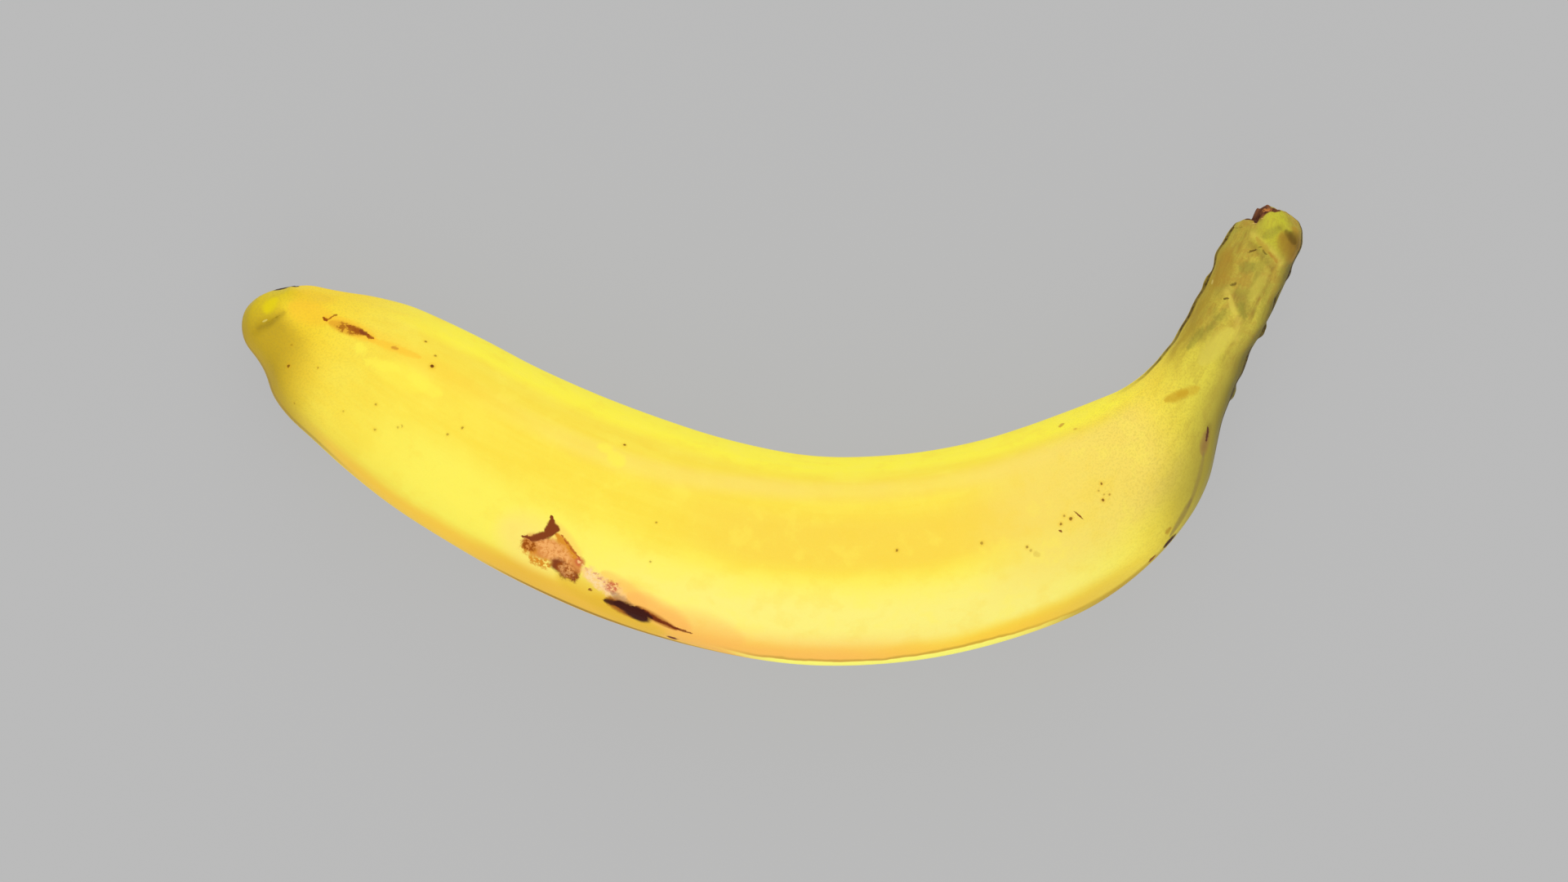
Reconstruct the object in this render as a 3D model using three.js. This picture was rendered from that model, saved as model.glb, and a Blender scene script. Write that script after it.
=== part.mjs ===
// A ripe banana lying on its side: one closed solid, in millimetres, with +Z up.
//
// The fruit is a loft. Each slice of it stands upright across the fruit, from a point on the
// inside of the bend to a point on the outside. Between the slices run smooth curves, and
// round each slice runs the same rounded pentagon, whose corners are the fruit's five ridges.
// The solid ends in the dark flower scar at one end and in the torn stem at the other.

import * as THREE from 'three';

// ---------------------------------------------------------------- driving dimensions (mm)

// The slices, from the flower end to the stem. Each row is: inside x, inside y, outside x,
// outside y, and half the fruit's thickness there, up and down.
const SLICES = [
  [-87.0, 27.1, -91.2, 26.3, 2.2],
  [-85.9, 27.2, -94.0, 25.3, 4.1],
  [-84.7, 27.2, -96.2, 23.2, 5.5],
  [-83.2, 27.0, -97.1, 20.2, 6.5],
  [-81.4, 26.6, -96.6, 17.0, 7.4],
  [-79.3, 26.2, -95.2, 14.5, 8.6],
  [-76.9, 25.8, -92.7, 10.9, 9.9],
  [-74.2, 25.4, -91.2, 6.9, 11.3],
  [-70.8, 24.7, -88.5, 3.2, 12.6],
  [-66.0, 23.4, -84.0, -1.0, 14.0],
  [-60.0, 20.9, -78.0, -6.4, 15.2],
  [-52.0, 17.0, -70.0, -12.7, 16.2],
  [-43.0, 12.2, -60.0, -19.2, 16.9],
  [-32.0, 7.3, -47.0, -26.6, 17.4],
  [-20.0, 2.8, -31.5, -33.5, 17.8],
  [-7.0, -1.2, -13.5, -39.0, 18.0],
  [8.0, -4.1, 6.5, -42.3, 18.0],
  [23.0, -3.8, 26.5, -41.4, 17.8],
  [36.0, -1.7, 44.5, -37.3, 17.4],
  [46.5, 1.3, 59.5, -31.1, 16.5],
  [54.5, 4.2, 70.5, -22.7, 14.9],
  [60.0, 6.4, 77.0, -14.9, 12.9],
  [64.0, 8.1, 80.3, -8.3, 11.0],
  [66.9, 9.9, 81.6, -3.0, 9.4],
  [69.4, 12.0, 82.5, 1.3, 8.2],
  [71.7, 14.5, 84.0, 5.9, 7.4],
  [73.7, 17.2, 85.8, 10.4, 6.9],
  [76.2, 21.5, 88.1, 15.6, 6.6],
  [78.8, 26.1, 90.9, 20.3, 6.7],
  [80.3, 29.4, 92.9, 24.8, 6.5],
  [81.5, 33.0, 95.1, 29.8, 6.7],
  [83.2, 36.0, 97.1, 34.2, 6.7],
  [84.4, 38.0, 97.4, 37.0, 6.4],
];

const RING_SIDES = 48; // corners round each ring
const BODY_STEP = 4; // the widest gap between rings along the fruit's body
const END_STEP = 1.9; // and near its two ends
const FLOWER_REACH = 26; // how far from the flower end the rings stay close
const STEM_REACH = 52; // and how far from the stem end

// The five ridges: the angle of each round the fruit in degrees, from straight up towards
// the inside of the bend, at the flower end, along the middle and at the stem.
const RIDGES = [
  { flower: 28, middle: 42, stem: 26 },
  { flower: 101, middle: 98, stem: 98 },
  { flower: 173, middle: 150, stem: 170 },
  { flower: 245, middle: 213, stem: 242 },
  { flower: 317, middle: 291, stem: 311 },
];
const RIDGE_WIDTH = 17; // degrees from a ridge's top to where it has mostly sunk away
const RIDGE_RISE = 0.055; // a ridge's height along the body, as a share of the radius
const RIDGE_RISE_ENDS = 0.075; // and towards the two ends
const SOFT_START = 60; // along the fruit: the ridges are at their lowest from here
const SOFT_END = 165; // to here
const SHARP_FLOWER = 15; // and at their highest before here
const SHARP_STEM = 195; // and after here
const FLOWER_ANGLES_END = 70; // along the fruit: the ridges keep their flower-end angles to here
const MIDDLE_START = 118; // have their middle angles from here
const MIDDLE_END = 160; // to here
const STEM_ANGLES_START = 196; // and their stem angles from here

// How the fruit lies: its underside is straight along the body and clear of the surface at
// both ends.
const FLOWER_LIFT = 6.5; // height of the flower end's underside
const STEM_LIFT = 11; // height of the stem end's underside
const REST_START = 30; // along the fruit, where the underside comes down to rest
const REST_END = 172; // and where it leaves the surface again
const PRESSED = 0.5; // depth by which the resting spot is flattened

// The stem's dried wrinkles: low knobs, out of step with each other round the stem.
const STEM_START = 188; // along the fruit
const STEM_FULL = 204; // along the fruit, where the wrinkles have their full height
const WRINKLE_PITCH = 7.5; // from knob to knob along the stem
const KNOB_RISE = 0.19;
const KNOB_SWING = 2.4; // how far the knobs move along the stem as they go round it
const KNOB_TWIST = 0.35; // and how far they turn round it from one to the next
const FOLD_RISE = 0.16;
const FOLD_PITCH = 0.62; // the folds' pitch, as the number of them to each knob
const FOLD_SWING = 1.7;
const FOLD_TWIST = 0.2;

// The groove that sets off the knob of the flower end. It fades out on the inside of the bend.
const GROOVE_PLACE = 9; // along the fruit
const GROOVE_WIDTH = 2.2;
const GROOVE_DEPTH = 0.35;
const GROOVE_FADE = 40; // degrees over which it fades out

// The end faces are rings of shrinking size. Each number is a share of the last slice.
const SCAR_RINGS = [0.82, 0.6, 0.3];
const SCAR_RISE = 0.4; // the scar's dry rim stands proud of the peel
const SCAR_DISH = 0.55; // and its middle has sunk
const RIM_INSIDE = 0.8; // where the rim has its full height, as a share of the radius
const DISH_OUTSIDE = 0.7; // where the dish begins
const DISH_INSIDE = 0.1; // and where it has its full depth
const TORN_RINGS = [0.96, 0.88, 0.76, 0.62, 0.48, 0.34, 0.18];
const TORN_CREST = 4.7; // height of the torn crest over the last slice
const TORN_CREST_PLACE = 0.3; // how far towards the inside it stands, as a share of the radius
const TORN_STEP = 0.2; // width of the torn wall that drops from the crest to the inside
const TORN_SHELF = 1.3; // height of the shelf at the foot of that wall
const TORN_FALL = 1.9; // how much lower the end is at the outside than at the crest
const COLLAR_ROUNDING = 7; // the higher, the tighter the collar's rounded edge
const FIBRE_RISE = 0.25; // height of the torn fibres' ends
const FIBRES_ACROSS = [9, 5]; // two crossing families of fibres: each one's waves across and up
const FIBRES_UP = [-3, 7];

const PEEL_COLOUR = 0xf2cf2e;
const PEEL_ROUGHNESS = 0.45;

// ---------------------------------------------------------------- small helpers

const DEGREE = Math.PI / 180;
const UP = new THREE.Vector3(0, 0, 1);

function ease(from, to, value) {
  return THREE.MathUtils.smoothstep(value, from, to);
}

function mix(from, to, share) {
  return THREE.MathUtils.lerp(from, to, share);
}

// A bell: 1 at zero and nearly 0 at twice the width.
function bell(distance, width) {
  return Math.exp(-((distance / width) ** 2));
}

// The difference between two angles in degrees, between -180 and 180.
function turnBetween(a, b) {
  return THREE.MathUtils.euclideanModulo(a - b + 180, 360) - 180;
}

// ---------------------------------------------------------------- the slices

function smoothLine(points) {
  return new THREE.CatmullRomCurve3(points, false, 'centripetal');
}

const insideLine = smoothLine(SLICES.map(([x, y]) => new THREE.Vector3(x, y, 0)));
const outsideLine = smoothLine(SLICES.map(([, , x, y]) => new THREE.Vector3(x, y, 0)));
const thicknessLine = smoothLine(
  SLICES.map(([xi, yi, xo, yo, half]) => new THREE.Vector3((xi + xo) / 2, (yi + yo) / 2, half)),
);

// The slice at a share of the way from the first row to the last: its middle, the direction
// across it towards the inside of the bend, and half its width and thickness.
function sliceAt(share) {
  const inside = insideLine.getPoint(share);
  const outside = outsideLine.getPoint(share);
  const across = inside.clone().sub(outside);
  return {
    middle: inside.clone().add(outside).multiplyScalar(0.5),
    across: across.clone().normalize(),
    halfWidth: across.length() / 2,
    halfThickness: thicknessLine.getPoint(share).z,
  };
}

// How far along the fruit's middle each row of SLICES lies.
function centreDistances() {
  const distances = [0];
  for (let row = 1; row < SLICES.length; row += 1) {
    const from = sliceAt((row - 1) / (SLICES.length - 1)).middle;
    const to = sliceAt(row / (SLICES.length - 1)).middle;
    distances.push(distances[row - 1] + from.distanceTo(to));
  }
  return distances;
}

// Slices all along the fruit, close together near the ends, each with its distance along.
function sliceTheFruit() {
  const rows = SLICES.length - 1;
  const distances = centreDistances();
  const length = distances.at(-1);
  const slices = [];
  for (let row = 0; row < rows; row += 1) {
    const start = distances[row];
    const gap = distances[row + 1] - start;
    const nearEnd = start < FLOWER_REACH || start > length - STEM_REACH;
    const steps = Math.ceil(gap / (nearEnd ? END_STEP : BODY_STEP));
    for (let step = 0; step < steps; step += 1) {
      const share = step / steps;
      slices.push({ ...sliceAt((row + share) / rows), along: start + gap * share });
    }
  }
  slices.push({ ...sliceAt(1), along: length });
  return slices;
}

// ---------------------------------------------------------------- the peel's relief

function ridgeAngle(ridge, along) {
  const middle = mix(ridge.flower, ridge.middle, ease(FLOWER_ANGLES_END, MIDDLE_START, along));
  return mix(middle, ridge.stem, ease(MIDDLE_END, STEM_ANGLES_START, along));
}

// The radius at an angle round a slice, before it is fitted to the slice's size.
function sectionRadius(angle, along) {
  const atFlower = 1 - ease(SHARP_FLOWER, SOFT_START, along);
  const towardsEnds = Math.max(atFlower, ease(SOFT_END, SHARP_STEM, along));
  const rise = mix(RIDGE_RISE, RIDGE_RISE_ENDS, towardsEnds);
  let radius = 1;
  for (const ridge of RIDGES) {
    radius += rise * bell(turnBetween(angle, ridgeAngle(ridge, along)), RIDGE_WIDTH);
  }
  return radius;
}

function stemWrinkle(angle, along) {
  const turn = angle * DEGREE;
  const travel = (along / WRINKLE_PITCH) * 2 * Math.PI;
  const knobs =
    Math.sin(travel + KNOB_SWING * Math.sin(turn)) * Math.sin(2 * turn + KNOB_TWIST * travel);
  const folds =
    Math.sin(FOLD_PITCH * travel + FOLD_SWING * Math.cos(2 * turn)) *
    Math.cos(3 * turn - FOLD_TWIST * travel);
  return ease(STEM_START, STEM_FULL, along) * (KNOB_RISE * knobs + FOLD_RISE * folds);
}

function knobGroove(angle, along) {
  const inside = ease(0, GROOVE_FADE, angle) * (1 - ease(180 - GROOVE_FADE, 180, angle));
  return -GROOVE_DEPTH * (1 - inside) * bell(along - GROOVE_PLACE, GROOVE_WIDTH);
}

// ---------------------------------------------------------------- rings

// One slice's outline in its own plane: shares of the half width (towards the inside) and of
// the half thickness (up), fitted so that it reaches exactly 1 on all four sides.
function sectionOutline(along) {
  const outline = [];
  for (let side = 0; side < RING_SIDES; side += 1) {
    const angle = (360 * side) / RING_SIDES;
    const radius = sectionRadius(angle, along);
    const across = radius * Math.sin(angle * DEGREE);
    const up = radius * Math.cos(angle * DEGREE);
    outline.push({ angle, across, up });
  }
  for (const axis of ['across', 'up']) {
    const high = Math.max(...outline.map((point) => point[axis]));
    const low = -Math.min(...outline.map((point) => point[axis]));
    outline.forEach((point) => {
      point[axis] /= point[axis] > 0 ? high : low;
    });
  }
  return outline;
}

function lift(along, length) {
  const flower = FLOWER_LIFT * Math.max(0, 1 - along / REST_START) ** 2;
  const stem = STEM_LIFT * Math.max(0, (along - REST_END) / (length - REST_END)) ** 1.5;
  return flower + stem - PRESSED;
}

// The corners of a ring in space. A ring of an end face is a smaller copy of the last slice,
// pushed out along the fruit by a height that depends on the place on the face.
function ringPoints(slice, length, share = 1, faceHeight = () => 0) {
  const outwards = slice.across.clone().cross(UP);
  const relief = (angle) => stemWrinkle(angle, slice.along) + knobGroove(angle, slice.along);
  return sectionOutline(slice.along).map(({ angle, across, up }) => {
    const bump = share * relief(angle);
    const height = slice.halfThickness + lift(slice.along, length);
    const point = slice.middle.clone();
    point.addScaledVector(slice.across, across * (slice.halfWidth * share + bump));
    point.addScaledVector(outwards, faceHeight(share * across, share * up));
    point.z = height + up * (slice.halfThickness * share + bump);
    return point;
  });
}

// ---------------------------------------------------------------- the two end faces

// The flower scar's face, pushed out of the flower end (against the fruit's direction).
function scarHeight(across, up) {
  const fromMiddle = Math.hypot(across, up);
  const rim = SCAR_RISE * (1 - ease(RIM_INSIDE, 1, fromMiddle));
  const dish = SCAR_DISH * (1 - ease(DISH_INSIDE, DISH_OUTSIDE, fromMiddle));
  return dish - rim;
}

// The torn stem's face: it rises from a rounded collar to a crest, and drops from the crest
// in a torn wall to a shelf on the inside of the bend.
function tornHeight(across, up) {
  const collar = 1 - Math.min(1, Math.hypot(across, up)) ** COLLAR_ROUNDING;
  const behindCrest = TORN_CREST - TORN_FALL * Math.min(1, TORN_CREST_PLACE - across);
  const wall = ease(TORN_CREST_PLACE, TORN_CREST_PLACE + TORN_STEP, across);
  const waves = ([acrossWaves, upWaves]) => Math.sin(acrossWaves * across + upWaves * up);
  const fibres = FIBRE_RISE * waves(FIBRES_ACROSS) * waves(FIBRES_UP);
  return (mix(behindCrest, TORN_SHELF, wall) + fibres) * collar;
}

// ---------------------------------------------------------------- the solid

// Joins rings of equal size into one closed skin with a point at each end.
function closedSkin(firstPoint, rings, lastPoint) {
  const points = [firstPoint, ...rings.flat(), lastPoint];
  const corner = (ring, side) => 1 + ring * RING_SIDES + (side % RING_SIDES);
  const last = points.length - 1;
  const triangles = [];
  for (let side = 0; side < RING_SIDES; side += 1) {
    triangles.push(0, corner(0, side), corner(0, side + 1));
    triangles.push(last, corner(rings.length - 1, side + 1), corner(rings.length - 1, side));
  }
  for (let ring = 0; ring < rings.length - 1; ring += 1) {
    for (let side = 0; side < RING_SIDES; side += 1) {
      const a = corner(ring, side);
      const b = corner(ring, side + 1);
      const c = corner(ring + 1, side + 1);
      const d = corner(ring + 1, side);
      triangles.push(a, d, b);
      triangles.push(b, d, c);
    }
  }
  const geometry = new THREE.BufferGeometry().setFromPoints(points);
  geometry.setIndex(triangles);
  return geometry;
}

// Presses everything under the surface up to it, which makes the flat spot that the fruit
// rests on, and centres the fruit over the origin.
function restOnSurface(geometry) {
  const position = geometry.attributes.position;
  for (let i = 0; i < position.count; i += 1) {
    position.setZ(i, Math.max(0, position.getZ(i)));
  }
  geometry.computeBoundingBox();
  const middle = geometry.boundingBox.getCenter(new THREE.Vector3());
  geometry.translate(-middle.x, -middle.y, 0);
  geometry.computeVertexNormals();
  return geometry;
}

function bananaGeometry() {
  const slices = sliceTheFruit();
  const first = slices[0];
  const last = slices.at(-1);
  const length = last.along;
  const facePoint = (slice, faceHeight) => {
    const point = slice.middle.clone();
    point.addScaledVector(slice.across.clone().cross(UP), faceHeight(0, 0));
    point.z = slice.halfThickness + lift(slice.along, length);
    return point;
  };
  const scar = SCAR_RINGS.map((share) => ringPoints(first, length, share, scarHeight)).reverse();
  const sides = slices.map((slice) => ringPoints(slice, length));
  const torn = TORN_RINGS.map((share) => ringPoints(last, length, share, tornHeight));
  return restOnSurface(
    closedSkin(facePoint(first, scarHeight), [...scar, ...sides, ...torn], facePoint(last, tornHeight)),
  );
}

const banana = new THREE.Mesh(
  bananaGeometry(),
  new THREE.MeshStandardMaterial({ color: PEEL_COLOUR, roughness: PEEL_ROUGHNESS, metalness: 0 }),
);
banana.name = 'banana';

const fruit = new THREE.Group();
fruit.add(banana);

export default fruit;
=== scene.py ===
# %% [markdown]
# # A ripe banana, lying on its side
#
# This notebook dresses a plain solid of a banana. The solid already has the true size and
# place; here the fruit gets its skin: the soft ridges, the dried and wrinkled stem, the torn
# end, and a peel with all its freckles and bruises. Every length is in metres, and +Z is up.

# %% Load the frame
import math

import bpy
import numpy as np
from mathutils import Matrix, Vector, bvhtree, noise


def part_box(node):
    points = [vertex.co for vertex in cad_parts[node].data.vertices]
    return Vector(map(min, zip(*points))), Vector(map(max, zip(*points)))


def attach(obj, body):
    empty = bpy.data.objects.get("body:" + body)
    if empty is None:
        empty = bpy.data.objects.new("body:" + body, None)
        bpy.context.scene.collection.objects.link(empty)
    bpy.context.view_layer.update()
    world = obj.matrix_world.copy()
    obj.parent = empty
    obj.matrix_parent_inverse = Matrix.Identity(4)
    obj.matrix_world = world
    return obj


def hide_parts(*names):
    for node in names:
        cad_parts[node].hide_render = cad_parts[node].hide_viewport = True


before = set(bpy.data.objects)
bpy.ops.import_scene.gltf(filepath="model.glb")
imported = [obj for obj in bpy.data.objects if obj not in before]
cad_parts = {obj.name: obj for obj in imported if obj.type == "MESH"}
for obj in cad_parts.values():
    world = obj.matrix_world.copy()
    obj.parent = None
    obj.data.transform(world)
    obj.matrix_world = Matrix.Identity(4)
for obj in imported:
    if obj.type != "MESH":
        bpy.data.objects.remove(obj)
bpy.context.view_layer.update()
MM = 0.001

# %% [markdown]
# ## Camera, light and floor
#
# For a catalogue, a banana lies on a plain table, with the camera straight above
# it. One could light it with a single lamp, but a lamp leaves a hard shadow. A pale sky all
# round and two large soft panels leave almost none, and the peel keeps its colour.

# %% Camera
CAMERA_PLACE = Vector((2.25, -1.1, 3018)) * MM
VIEW_WIDTH = 286.8 * MM  # of the fruit's own height above the table
FRUIT_HEIGHT = 18 * MM

camera_data = bpy.data.cameras.new("camera")
camera_data.sensor_width = 36
distance = CAMERA_PLACE.z - FRUIT_HEIGHT
camera_data.lens = camera_data.sensor_width * distance / VIEW_WIDTH
camera_data.clip_start = 0.01
camera = bpy.data.objects.new("camera", camera_data)
camera.location = CAMERA_PLACE
bpy.context.scene.collection.objects.link(camera)
bpy.context.scene.camera = camera
print("lens in mm:", round(camera_data.lens, 1))

# %% Light
SKY_STRENGTH = 0.765
world = bpy.data.worlds.new("studio")
world.use_nodes = True
world.node_tree.nodes["Background"].inputs["Color"].default_value = (1, 1, 1, 1)
world.node_tree.nodes["Background"].inputs["Strength"].default_value = SKY_STRENGTH
bpy.context.scene.world = world
bpy.context.scene.view_settings.view_transform = "Standard"


def soft_panel(name, place, size, power):
    """A square panel of light that faces the fruit."""
    data = bpy.data.lights.new(name, "AREA")
    data.size = size
    data.energy = power
    panel = bpy.data.objects.new(name, data)
    panel.location = place
    panel.rotation_euler = (-Vector(place)).to_track_quat("-Z", "Y").to_euler()
    panel.visible_camera = False
    bpy.context.scene.collection.objects.link(panel)


PANEL_SIZE = 1.4
PANEL_POWER = 7.1
soft_panel("panel_back", (0.1, 1.05, 0.6), PANEL_SIZE, PANEL_POWER)
soft_panel("panel_front", (-0.15, -1.05, 0.6), PANEL_SIZE, PANEL_POWER)
print("sky:", SKY_STRENGTH, "and two panels of", PANEL_POWER, "W")

# %% Floor
FLOOR_GAP = 0.2 * MM  # below the fruit's flat resting spot, so that the two don't flicker
bpy.ops.mesh.primitive_plane_add(size=6, location=(0, 0, -FLOOR_GAP))
floor = bpy.context.active_object
floor.name = "floor"
floor_finish = bpy.data.materials.new("studio_floor")
floor_finish.use_nodes = True
floor_shader = floor_finish.node_tree.nodes["Principled BSDF"]
floor_shader.inputs["Base Color"].default_value = (0.06, 0.06, 0.06, 1)
floor_shader.inputs["Roughness"].default_value = 0.9
floor_shader.inputs["Specular IOR Level"].default_value = 0
floor_shader.inputs["Emission Color"].default_value = (1, 1, 1, 1)
floor_shader.inputs["Emission Strength"].default_value = 0.43
floor.data.materials.append(floor_finish)
print("floor lies at", round(floor.location.z / MM, 2), "mm")

# %% [markdown]
# ## The slices
#
# A banana swells from the dry flower scar to its thickest part and thins to the stem, and it
# bends as it goes. Its form could be pulled from a sphere with a soft brush, but it would
# never have the solid's measures. So it is cut in thought into upright slices, as for a salad.
# Each row says where a slice reaches on the inside and on the outside of the bend, and how
# thick it is.

# %% The rows of slices, in millimetres
# inside x, inside y, outside x, outside y, half the thickness
SLICES = [
    (-87.0, 27.1, -91.2, 26.3, 2.2), (-85.9, 27.2, -94.0, 25.3, 4.1),
    (-84.7, 27.2, -96.2, 23.2, 5.5), (-83.2, 27.0, -97.1, 20.2, 6.5),
    (-81.4, 26.6, -96.6, 17.0, 7.4), (-79.3, 26.2, -95.2, 14.5, 8.6),
    (-76.9, 25.8, -92.7, 10.9, 9.9), (-74.2, 25.4, -91.2, 6.9, 11.3),
    (-70.8, 24.7, -88.5, 3.2, 12.6), (-66.0, 23.4, -84.0, -1.0, 14.0),
    (-60.0, 20.9, -78.0, -6.4, 15.2), (-52.0, 17.0, -70.0, -12.7, 16.2),
    (-43.0, 12.2, -60.0, -19.2, 16.9), (-32.0, 7.3, -47.0, -26.6, 17.4),
    (-20.0, 2.8, -31.5, -33.5, 17.8), (-7.0, -1.2, -13.5, -39.0, 18.0),
    (8.0, -4.1, 6.5, -42.3, 18.0), (23.0, -3.8, 26.5, -41.4, 17.8),
    (36.0, -1.7, 44.5, -37.3, 17.4), (46.5, 1.3, 59.5, -31.1, 16.5),
    (54.5, 4.2, 70.5, -22.7, 14.9), (60.0, 6.4, 77.0, -14.9, 12.9),
    (64.0, 8.1, 80.3, -8.3, 11.0), (66.9, 9.9, 81.6, -3.0, 9.4),
    (69.4, 12.0, 82.5, 1.3, 8.2), (71.7, 14.5, 84.0, 5.9, 7.4),
    (73.7, 17.2, 85.8, 10.4, 6.9), (76.2, 21.5, 88.1, 15.6, 6.6),
    (78.8, 26.1, 90.9, 20.3, 6.7), (80.3, 29.4, 92.9, 24.8, 6.5),
    (81.5, 33.0, 95.1, 29.8, 6.7), (83.2, 36.0, 97.1, 34.2, 6.7),
    (84.4, 38.0, 97.4, 37.0, 6.4),
]


def smooth_line(points, place):
    """A point on a smooth line; place 1.5 is halfway from the second point to the third."""
    first = min(int(place), len(points) - 2)
    share = place - first
    b, c = points[first], points[first + 1]
    a = points[first - 1] if first else 2 * b - c
    d = points[first + 2] if first + 2 < len(points) else 2 * c - b
    ab, bc, cd = ((q - p).length ** 0.5 for p, q in ((a, b), (b, c), (c, d)))
    leave = ((b - a) / ab - (c - a) / (ab + bc) + (c - b) / bc) * bc
    arrive = ((c - b) / bc - (d - b) / (bc + cd) + (d - c) / cd) * bc
    cube = 2 * b - 2 * c + leave + arrive
    square = -3 * b + 3 * c - 2 * leave - arrive
    return ((cube * share + square) * share + leave) * share + b


inside_points = [Vector((row[0], row[1], 0)) for row in SLICES]
outside_points = [Vector((row[2], row[3], 0)) for row in SLICES]
middle_points = [Vector(((r[0] + r[2]) / 2, (r[1] + r[3]) / 2, r[4])) for r in SLICES]


def slice_at(place):
    """Middle, direction across towards the inside, half width and half thickness, in mm."""
    inside = smooth_line(inside_points, place)
    outside = smooth_line(outside_points, place)
    across = inside - outside
    thickness = smooth_line(middle_points, place).z
    return (inside + outside) / 2, across.normalized(), across.length / 2, thickness


row_along = [0.0]
for row in range(1, len(SLICES)):
    step = (slice_at(row)[0] - slice_at(row - 1)[0]).length
    row_along.append(row_along[-1] + step)
LENGTH = row_along[-1]
print("length along the bend in mm:", round(LENGTH, 1))

# %% [markdown]
# ## The body, ring by ring
#
# The skin starts as a circle that is extruded, sized, turned and moved from slice to slice,
# with closer rings where the form changes fast. This is how one would draw out a tube by
# hand, and it leaves a clean grid of four-sided faces that later steps can press and raise.

# %% Where the rings go
RING_SIDES = 40
SCAR_SHARES = (0.15, 0.35, 0.55, 0.75, 0.9)
TORN_SHARES = (0.975, 0.93, 0.87, 0.8, 0.72, 0.63, 0.54, 0.45, 0.36, 0.27, 0.18, 0.09)
FLOWER_REACH = 24  # mm along the fruit, up to where the rings stay close
REST_START, REST_END = 30, 172  # mm along the fruit, between which it lies on the table
FLOWER_GAP, BODY_GAP, STEM_GAP = 1.3, 2.9, 1.15  # mm between rings
FLOWER_LIFT, STEM_LIFT = 6.5, 11  # mm by which the two ends rise
PRESSED = 0.5  # mm of the fruit that its own weight flattens


def ring_gap(along):
    """How far apart the rings are: close at the flower end, closer on the wrinkled stem."""
    if along < FLOWER_REACH:
        return FLOWER_GAP
    return BODY_GAP if along < REST_END else STEM_GAP


def lift(along):
    """Height of the fruit's underside: it lies flat along the body and rises to both ends."""
    flower = FLOWER_LIFT * max(0, 1 - along / REST_START) ** 2
    stem = STEM_LIFT * max(0, (along - REST_END) / (LENGTH - REST_END)) ** 1.5
    return flower + stem - PRESSED


def ring(place, share=1.0):
    """One ring of the skin; a share below 1 makes a smaller ring, which closes an end."""
    middle, across, half_width, half_thickness = slice_at(place)
    row = min(int(place), len(SLICES) - 2)
    along = row_along[row] + (place - row) * (row_along[row + 1] - row_along[row])
    inwards = (1 - share) * half_width
    return {
        "middle": Vector((middle.x, middle.y, half_thickness + lift(along))) * MM,
        "turned": math.atan2(across.y, across.x),
        "half_width": half_width * share * MM,
        "half_thickness": half_thickness * share * MM,
        "along": along + (inwards if place else -inwards),
    }


rings = [ring(0, share) for share in SCAR_SHARES]
for row in range(len(SLICES) - 1):
    gap = row_along[row + 1] - row_along[row]
    steps = math.ceil(gap / ring_gap(row_along[row]))
    rings += [ring(row + step / steps) for step in range(steps)]
last_row = len(SLICES) - 1
rings.append(ring(last_row))
side_rings = len(rings) - len(SCAR_SHARES)
rings += [ring(last_row, share) for share in TORN_SHARES]
print("rings:", len(rings))

# %% Draw out the tube
CIRCLE_SHRINK = 2 / 3 + math.cos(2 * math.pi / RING_SIDES) / 3  # of the smoothing below


def turn_selected(angle, centre):
    """Turns what is selected about the vertical, anticlockwise as seen from above."""
    bpy.ops.transform.rotate(value=-angle, orient_axis="Z", center_override=centre)


def draw_out(before, after):
    """Extrudes the selected ring and brings the new one from one slice to the next."""
    bpy.ops.mesh.extrude_edges_move()
    turn_selected(-before["turned"], before["middle"])
    wider = after["half_width"] / before["half_width"]
    thicker = after["half_thickness"] / before["half_thickness"]
    bpy.ops.transform.resize(value=(wider, 1, thicker), center_override=before["middle"])
    turn_selected(after["turned"], before["middle"])
    bpy.ops.transform.translate(value=after["middle"] - before["middle"])


bpy.ops.object.select_all(action="DESELECT")
bpy.ops.mesh.primitive_circle_add(
    vertices=RING_SIDES, radius=1, fill_type="NOTHING", rotation=(math.pi / 2, 0, 0))
skin = bpy.context.active_object
skin.name = skin.data.name = "banana_skin"
bpy.ops.object.transform_apply(rotation=True)
bpy.ops.object.mode_set(mode="EDIT")
bpy.ops.mesh.select_mode(type="EDGE")
bpy.ops.mesh.select_all(action="SELECT")
first = rings[0]
size = (first["half_width"] / CIRCLE_SHRINK, 1, first["half_thickness"] / CIRCLE_SHRINK)
bpy.ops.transform.resize(value=size, center_override=(0, 0, 0))
turn_selected(first["turned"], (0, 0, 0))
bpy.ops.transform.translate(value=first["middle"])
for before, after in zip(rings, rings[1:]):
    draw_out(before, after)
bpy.ops.object.mode_set(mode="OBJECT")
print("points of the tube:", len(skin.data.vertices))

# %% Close both ends
def select_ring(number):
    """Selects the edges of one ring, which the extrusions made in order."""
    mine = range(number * RING_SIDES, (number + 1) * RING_SIDES)
    for edge in skin.data.edges:
        edge.select = edge.vertices[0] in mine and edge.vertices[1] in mine


for number in (0, len(rings) - 1):
    bpy.ops.object.mode_set(mode="EDIT")
    bpy.ops.mesh.select_all(action="DESELECT")
    bpy.ops.object.mode_set(mode="OBJECT")
    select_ring(number)
    bpy.ops.object.mode_set(mode="EDIT")
    bpy.ops.mesh.edge_face_add()
    bpy.ops.mesh.poke()
bpy.ops.mesh.select_all(action="SELECT")
bpy.ops.mesh.normals_make_consistent(inside=False)
bpy.ops.object.mode_set(mode="OBJECT")
print("faces before smoothing:", len(skin.data.polygons))

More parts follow.
